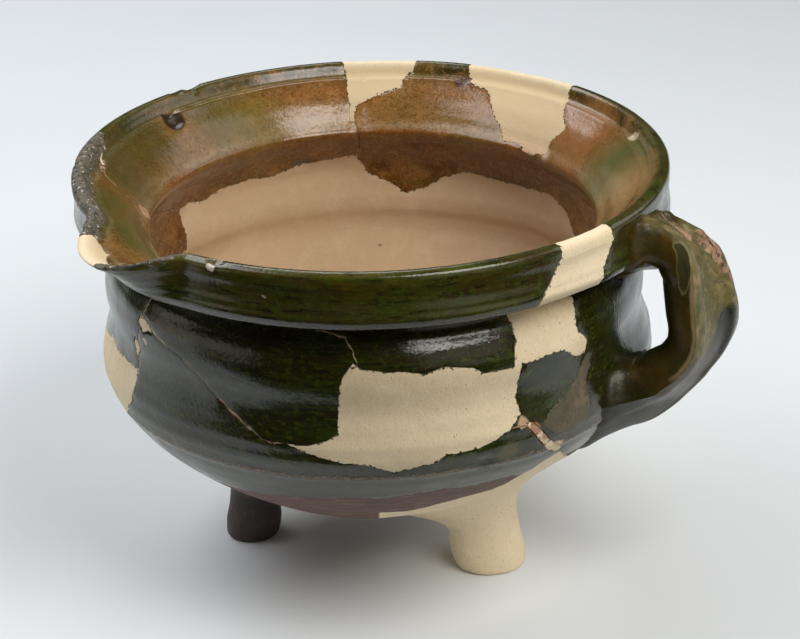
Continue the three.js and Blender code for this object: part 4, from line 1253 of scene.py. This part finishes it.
def glaze_inside(tree, down, torn):
    """Mottled brown, with dark specks, green where the glaze ran thick on the rim, and a pale band at the
    step inside the lip that is a painted sheen.
    """
    down = uneven(tree, down, 8.0, 0.8)
    # The pale stop at 0.125, about 7.5 mm inside the crest, is a painted sheen along the step inside the
    # lip.
    base = add(tree, "ValToRGB", {"Fac": faded(tree, down, 0.0, -60.0)}, stops=[
        (0.0, "#44452a"), (0.04, "#35350f"), (0.075, "#2c2607"), (0.1, "#4f431a"), (0.125, "#7d6e4e"),
        (0.15, "#6e4c24"), (0.26, "#84592c"), (0.4, "#85602f"), (0.47, "#8a6a3e"), (0.505, "#9a8262"),
        (0.54, "#7d4f20"), (0.66, "#74461a"), (0.9, "#5f3914")])
    base = patches(tree, base, [
        (30, 1.0, 4, 0.47, 0.62, 0.55, "#7a6632", 11), (15, 1.0, 4, 0.5, 0.64, 0.5, "#9a6a38", 12),
        (7, 1.0, 4, 0.5, 0.66, 0.5, "#6a4a20", 13), (3, 1.0, 4, 0.5, 0.66, 0.45, "#a07a4a", 14),
        (1.6, 1.0, 3, 0.54, 0.66, 0.6, "#553711", 15), (0.8, 1.0, 2, 0.56, 0.66, 0.6, "#33210b", 16),
        (0.9, 1.0, 2, 0.6, 0.7, 0.5, "#a98656", 17)])
    # thick green runs, and the browner glaze between them
    base = wall_spots(tree, ragged(tree, 12.0, 8.0), base, True, [
        (168, 143, 26, 16, 0.75, "#4c4a26"), (150, 146, 22, 14, 0.7, "#3f4216"),
        (128, 146, 20, 12, 0.6, "#45440f"), (196, 140, 26, 16, 0.7, "#474d22"),
        (212, 138, 22, 12, 0.75, "#4a5222"), (120, 136, 20, 14, 0.5, "#6a6a2c"),
        (2, 142, 24, 14, 0.7, "#5a5c34"), (10, 136, 20, 12, 0.6, "#5f6638"),
        (350, 138, 26, 14, 0.6, "#a08254"), (33, 140, 22, 14, 0.6, "#9a6a44")])
    # chips
    return wall_spots(tree, torn, base, True, [
        (137.8, 145, 5.5, 1.5, 0.9, "#2a1c18"), (105.5, 115.1, 4, 1, 0.9, "#5a4c40"),
        (70, 146.5, 4, 1.5, 0.8, "#38282a"), (13.8, 147, 3, 1, 0.8, "#c9c0a0"),
        (178, 131, 3.5, 1, 0.7, "#c9a888"), (40, 130, 3, 1.5, 0.8, "#b9a690")])


def lead_glaze():
    """Lead glaze over red earthenware, dipped and wood-fired: glass-clear green outside, brown on the rim's
    inside with a painted sheen along its step, painted shade near black under the collar, thin and brown on
    edges, and bare clay near the base."""
    finish, tree = new_finish("lead_glaze_dipped")
    mark = marks(tree, "down", "crack", "ridge", "bare", "broken", "scar", "lip")
    torn = ragged(tree, 4.0, 2.0)
    base = glaze_outside(tree, mark["down"])
    inner = glaze_inside(tree, mark["down"], torn)
    is_inner = faded(tree, mark["down"], -0.2, -1.6)
    base = over(tree, is_inner, base, inner)
    # the glaze is thin and pale on ridges, and worn off on the belly's turned ridge
    base = over(tree, faded(tree, mark["ridge"], 0.03, 0.12, 0.25), base, "#4f5223")
    height = uneven(tree, add(tree, "SeparateXYZ", {0: place_of(tree)}, out=2), 30.0, 0.5)
    girth = uneven(tree, away_from(tree, height, WORN_RIDGE_HEIGHT), 2.0, 1.0)
    worn = product(tree, faded(tree, girth, 0.6, 0.1, 0.7), faded(tree, is_inner, 1.0, 0.0))
    base = over(tree, worn, base, "#8a7458")
    # the scar beside the handle's root, where the glaze was torn off with what it had stuck to
    scarred = faded(tree, uneven(tree, mark["scar"], 3.0, 0.7), -0.1, 0.3)
    base = over(tree, scarred, base, patches(tree, linear("#5b5443"), [
        (5, 1.0, 4, 0.48, 0.64, 0.6, "#77694f", 31), (1.6, 1.0, 3, 0.54, 0.68, 0.6, "#3f3a28", 32)]))
    # chips, stains and places where the glaze came off outside
    base = wall_spots(tree, torn, base, False, [
        (303, 105, 9, 2, 0.6, "#1c220b"), (302, 92, 12, 3, 0.45, "#363a20"),
        (289.6, 76.1, 3.6, 1, 0.95, "#14140a"), (294, 79, 5, 2, 0.6, "#5f5a30"),
        (215.3, 151, 1.4, 0.6, 0.9, "#d8d2c0"), (204.8, 151, 1.2, 0.5, 0.9, "#d0c8b4"),
        (243.8, 149.5, 2.6, 0.8, 0.8, "#2a2118"), (243.3, 149.8, 1.5, 0.4, 0.95, "#ddd6c8"),
        (252.2, 142.3, 0.8, 0.4, 0.9, "#a9a68c"), (219.5, 109, 1.6, 0.6, 0.8, "#c3a98c"),
        (266.3, 115.5, 1.3, 0.6, 0.8, "#9a7a62"), (246, 83.5, 3.4, 1.2, 0.6, "#0f0f08"),
        (299, 86, 2.2, 0.8, 0.9, "#b98468"), (305.5, 75, 3.0, 0.8, 0.95, "#cdb592"),
        (296.5, 88.3, 2.6, 0.8, 0.9, "#c9ac8c")])
    # the spout's worn lip: matt, grey and pitted
    lip = faded(tree, uneven(tree, mark["lip"], 4.0, 1.4), -0.4, 0.8)
    base = over(tree, lip, base, patches(tree, linear("#5d594a"), [
        (5, 1.0, 4, 0.5, 0.64, 0.6, "#3c3a2c", 41), (2.4, 1.0, 3, 0.54, 0.62, 0.7, "#77644c", 42),
        (1.7, 1.0, 2, 0.56, 0.62, 0.9, "#1d1712", 43), (1.6, 1.0, 2, 0.63, 0.67, 0.95, "#cfc8ba", 44)]))
    # below the glaze: bare clay, purple-brown from the fire, streaked by the wheel
    bare = uneven(tree, uneven(tree, mark["bare"], 12.0, 1.2), 2.0, 0.6)
    bare = faded(tree, bare, -0.2, 0.4)
    base = over(tree, bare, base, patches(tree, linear("#65483f"), [
        (24, 3.0, 4, 0.45, 0.65, 0.5, "#4a3833", 51), (9, 7.0, 4, 0.5, 0.64, 0.6, "#8b6a58", 52),
        (5, 9.0, 3, 0.54, 0.66, 0.6, "#3a2a27", 53), (1.2, 1.0, 3, 0.6, 0.7, 0.5, "#33261f", 54)]))
    # the break faces, and the chips along the cracks
    chip_reach = faded(tree, noise(tree, 3.0, 4.0), 0.5, 0.8, 1.1)
    broken = maths(tree, "MAXIMUM", mark["broken"], maths(tree, "LESS_THAN", mark["crack"], chip_reach))
    base = over(tree, broken, base, patches(tree, linear("#937860"), [
        (1.4, 1.0, 3, 0.5, 0.62, 0.7, "#b99f82", 61), (3, 1.0, 3, 0.55, 0.65, 0.7, "#4f3c2c", 62)]))
    matt = bare
    for share in (broken, scarred, lip, worn):
        matt = maths(tree, "MAXIMUM", matt, share)
    rough = over(tree, matt, faded(tree, noise(tree, 12.0, 5.0), 0.3, 0.7, 0.27, 0.13), 0.62)
    normal = small_relief(tree, (1.3, 3.0), 7.0, 0.5, 0.0002)
    coarse = product(tree, noise(tree, 1.6, 4.0), matt)
    normal = add(tree, "Bump", {"Height": coarse, "Strength": 0.6, "Distance": 0.0008, "Normal": normal})
    shader_end(tree, base, rough, normal, 1.53)
    return finish


def handle_glaze():
    """The same glaze on the handle, thin and worn: mottled olive and tan outside, dark on the side
    faces, and flaked down to the pink clay along the upper far edge."""
    finish, tree = new_finish("lead_glaze_worn_handle")
    mark = marks(tree, "across", "deep", "station", "flaked", "leaf", "pooled")
    base = patches(tree, linear("#35300f"), [
        (16, 1.0, 4, 0.46, 0.62, 0.7, "#4a3810", 71), (9, 1.0, 4, 0.5, 0.66, 0.6, "#333612", 72),
        (5, 1.0, 4, 0.52, 0.66, 0.5, "#5a4216", 73), (3, 1.0, 4, 0.56, 0.7, 0.4, "#1c1a0a", 74),
        (1.2, 1.0, 2, 0.68, 0.75, 0.4, "#6e6644", 75)])
    # the lower half is darker, with the glaze pooled on its under side
    low = uneven(tree, mark["station"], 8.0, 0.7)
    base = over(tree, faded(tree, low, 9.3, 10.8, 0.8), base, "#1c1d0c")
    station = uneven(tree, mark["station"], 10.0, 0.8)
    outside = product(tree, faded(tree, mark["deep"], 0.2, 0.08), faded(tree, station, 9.4, 7.6),
                      faded(tree, station, 1.2, 2.4))
    base = over(tree, outside, base, patches(tree, linear("#5c5630"), [
        (14, 1.0, 4, 0.46, 0.6, 0.7, "#7d6e44", 76), (8, 1.0, 4, 0.5, 0.62, 0.7, "#434a1e", 77),
        (5, 1.0, 4, 0.52, 0.64, 0.6, "#94825a", 78), (2.4, 1.0, 4, 0.54, 0.66, 0.6, "#3a381a", 79),
        (1.1, 1.0, 3, 0.6, 0.7, 0.6, "#241f10", 80)]))
    # the arris between the near side and the dished outer face, worn to a pale line
    arris = uneven(tree, away_from(tree, mark["deep"], 0.12), 5.0, 0.025)
    arris = product(tree, faded(tree, arris, 0.07, 0.02), faded(tree, mark["across"], -0.8, -0.9),
                    faded(tree, station, 9.4, 8.4, 0.65), faded(tree, station, 2.2, 3.0))
    base = over(tree, arris, base, "#a08a64")
    # the leaf-shaped hollow that a thumb pressed into the side, with a pale rim
    hollow = uneven(tree, mark["leaf"], 2.0, 0.06)
    base = over(tree, faded(tree, hollow, -0.03, 0.03, 0.45), base, "#8f8764")
    base = over(tree, faded(tree, hollow, 0.05, 0.14, 0.85), base, "#2d2d0e")
    # the glaze ran together dark on the outer face
    pool = faded(tree, uneven(tree, mark["pooled"], 5.0, 0.15), 0.0, 0.3, 0.95)
    base = over(tree, pool, base, "#15160e")
    # pink clay where the glaze flaked off
    pink = faded(tree, uneven(tree, mark["flaked"], 3.0, 0.13), 0.0, 0.05)
    base = over(tree, pink, base, patches(tree, linear("#93735a"), [
        (4, 1.0, 4, 0.48, 0.6, 0.8, "#b0907a", 81), (2.6, 1.0, 4, 0.53, 0.6, 0.9, "#2a2118", 82),
        (6, 1.0, 4, 0.52, 0.6, 0.9, "#4c4826", 83), (1.2, 1.0, 3, 0.58, 0.68, 0.7, "#6e4634", 84)]))
    rough = over(tree, outside, (0.3, 0.3, 0.3, 1), 0.46)
    rough = over(tree, faded(tree, low, 10.5, 12.0), rough, 0.5)
    rough = over(tree, pool, rough, 0.2)
    rough = over(tree, maths(tree, "MAXIMUM", pink, arris), rough, 0.7)
    shader_end(tree, base, rough, small_relief(tree, (1.5, 4.0), 6.0, 0.4, 0.0003), 1.36)
    return finish


def restoration_plaster():
    """Toned plaster, cast in place, scraped and sanded: cream and fine-grained outside, with small dark
    pits, and toned a warmer brown inside the pot."""
    finish, tree = new_finish("plaster_scraped")
    mark = marks(tree, "down", "edge")
    outer = patches(tree, linear("#ead9b9"), [
        (26, 1.0, 4, 0.42, 0.66, 0.5, "#e0cca6", 21), (7, 1.0, 4, 0.5, 0.7, 0.4, "#f0e2c6", 22),
        (1.0, 1.0, 3, 0.54, 0.72, 0.4, "#cdb692", 23), (0.9, 1.0, 2, 0.69, 0.74, 0.8, "#5d4a34", 24)])
    inner = patches(tree, linear("#c6aa88"), [
        (30, 1.0, 4, 0.42, 0.66, 0.5, "#c6a988", 25), (9, 1.0, 4, 0.5, 0.7, 0.35, "#dcc4a6", 26),
        (1.2, 1.0, 3, 0.6, 0.74, 0.3, "#b89b7c", 27), (1.0, 1.0, 2, 0.73, 0.77, 0.8, "#5a4030", 28)])
    inner = wall_spots(tree, ragged(tree, 2.0, 1.0), inner, True, [
        (88.5, 76.9, 0.9, 0.5, 0.8, "#4a3a2c"), (94.8, 83.8, 0.6, 0.3, 0.8, "#7a5a44")])
    rim_tone = over(tree, faded(tree, mark["down"], -1.0, -5.0, 0.9), outer, "#cdb792")
    base = over(tree, faded(tree, mark["down"], -24.0, -32.0), rim_tone, inner)
    # crumbs of glaze along the breaks
    crumb_reach = faded(tree, noise(tree, 1.2, 3.0), 0.46, 0.72, 1.0, -0.1)
    on_wall = maths(tree, "GREATER_THAN", faded(tree, mark["edge"], 0.0, 0.001), 0.5)
    crumbs = product(tree, maths(tree, "LESS_THAN", mark["edge"], crumb_reach), on_wall)
    base = over(tree, crumbs, base, "#2a2b12")
    # stains of clay in the fill beside the handle's root
    base = wall_spots(tree, ragged(tree, 2.5, 1.2), base, False, [
        (299.5, 86, 3.4, 1, 0.85, "#a9765c"), (302, 82, 3.0, 1, 0.85, "#b07a60")])
    shader_end(tree, base, 0.85, small_relief(tree, (0.8, 4.0), 5.0, 0.5, 0.0003), 1.5)
    return finish


def burnt_clay():
    """Bare earthenware, thrown and fired, blackened by the hearth: matt, sooty, with worn brown spots."""
    finish, tree = new_finish("earthenware_sooted")
    base = patches(tree, linear("#3b302c"), [
        (12, 1.0, 4, 0.48, 0.64, 0.7, "#2a2422", 91), (6, 1.0, 4, 0.54, 0.68, 0.7, "#57453a", 92),
        (1.2, 1.0, 3, 0.6, 0.7, 0.6, "#1e1a18", 93), (1.0, 1.0, 2, 0.68, 0.76, 0.5, "#8a7868", 94)])
    base = spots(tree, ragged(tree, 3.0, 2.0), base, [
        ((-52.0, -10.0, 31.0), 7, 2.5, 0.8, "#6e5a3c"), ((-60.0, -11.0, 22.0), 4, 2, 0.5, "#544238")])
    grain = noise(tree, 1.1, 4.0)
    normal = add(tree, "Bump", {"Height": grain, "Strength": 0.8, "Distance": 0.0005})
    shader_end(tree, base, 0.5, normal, 1.5)
    return finish


finishes = {"glazed_clay": lead_glaze(), "plaster": restoration_plaster(), "burnt_clay": burnt_clay()}
for number, (name, _, slot) in enumerate(WALL_PIECES):
    wall_piece(number, name, slot, finishes[slot])
strap_handle(handle_glaze())
for name, slot, *sizes in FEET:
    foot_piece(name, slot, *sizes, finishes[slot])
for name, line in CRACKS:
    crack_filler(name, line, finishes["plaster"])
crack_filler("spout_crack_inner", SPOUT_CRACK[:-2], finishes["plaster"], True)


# The floor, lamps and camera. The floor ends in front of the pot, just below the photograph's frame:
# the glaze reflects the dark beyond it.
FLOOR_FRONT, FLOOR_BACK, FLOOR_SIDE = -165.0, 2400.0, 2400.0


def paper_floor():
    finish, tree = new_finish("paper_floor")
    tone = add(tree, "ValToRGB", {"Fac": noise(tree, 300.0, 2.0)},
               stops=[(0.35, "#e2e8ee"), (0.65, "#e6ecf2")])
    shader_end(tree, tone, 0.9, add(tree, "NewGeometry", out=1), 1.45)
    mesh = bpy.data.meshes.new("paper_floor")
    corners = [(-FLOOR_SIDE, FLOOR_FRONT), (FLOOR_SIDE, FLOOR_FRONT), (FLOOR_SIDE, FLOOR_BACK),
               (-FLOOR_SIDE, FLOOR_BACK)]
    mesh.from_pydata([(x * MM, y * MM, 0) for x, y in corners], [], [(0, 1, 2, 3)])
    mesh.materials.append(finish)
    floor = bpy.data.objects.new("paper_floor", mesh)
    bpy.context.scene.collection.objects.link(floor)


paper_floor()

# Lamps: name, place, what they face, size across and up, power in watts, and colour
POT_MIDDLE, BACK_FLOOR = (0, 0, 90), (-330, 640, 0)
SOFTBOXES = [
    ("low_left_panel", (-886, -156, 165), POT_MIDDLE, (900, 330), 0.7, "#fff4e2"),
    ("high_left_box", (-595, 160, 878), POT_MIDDLE, (900, 520), 5.6, "#ffffff"),
    ("low_right_box", (518, -663, 208), POT_MIDDLE, (613, 503), 0.6, "#fff4e2"),
    ("right_window", (425, -545, 835), POT_MIDDLE, (560, 600), 8.4, "#fffaf2"),
    ("back_right_box", (800, 240, 620), POT_MIDDLE, (800, 700), 2.4, "#ffffff"),
    ("back_box", (-330, 820, 900), BACK_FLOOR, (900, 400), 4.2, "#ffffff"),
]


def softbox(name, place, target, size, power, colour):
    lamp = bpy.data.lights.new(name, "AREA")
    lamp.shape = "RECTANGLE"
    lamp.size, lamp.size_y = size[0] * MM, size[1] * MM
    lamp.energy = power
    lamp.color = linear(colour)[:3]
    holder = bpy.data.objects.new(name, lamp)
    holder.location = Vector(place) * MM
    holder.rotation_euler = (Vector(place) - Vector(target)).to_track_quat("Z", "Y").to_euler()
    bpy.context.scene.collection.objects.link(holder)


for row in SOFTBOXES:
    softbox(*row)

world = bpy.data.worlds.new("studio_air")
world.use_nodes = True
air = world.node_tree.nodes["Background"].inputs
air["Color"].default_value = linear("#c8ccd0")
air["Strength"].default_value = 0.03
bpy.context.scene.world = world

camera = bpy.data.objects.new("camera", bpy.data.cameras.new("camera"))
camera.data.lens = 117.0
camera.data.sensor_width = 36.0
camera.data.clip_end = 20
CAMERA_PLACE = np.array([0, -872.0, 467.1])
PITCH, YAW, ROLL = 0.41105, 0.00982, 0.0344
forward = np.array([sin(YAW) * cos(PITCH), cos(YAW) * cos(PITCH), -sin(PITCH)])
level_right = np.array([cos(YAW), -sin(YAW), 0])
level_down = np.cross(forward, level_right)
right = cos(ROLL) * level_right + sin(ROLL) * level_down
downward = -sin(ROLL) * level_right + cos(ROLL) * level_down
turn_to = Matrix([right, -downward, -forward]).transposed().to_4x4()
camera.matrix_world = Matrix.Translation(Vector((CAMERA_PLACE + AXIS) * MM)) @ turn_to
bpy.context.scene.collection.objects.link(camera)
bpy.context.scene.camera = camera
bpy.context.scene.view_settings.view_transform = "Standard"
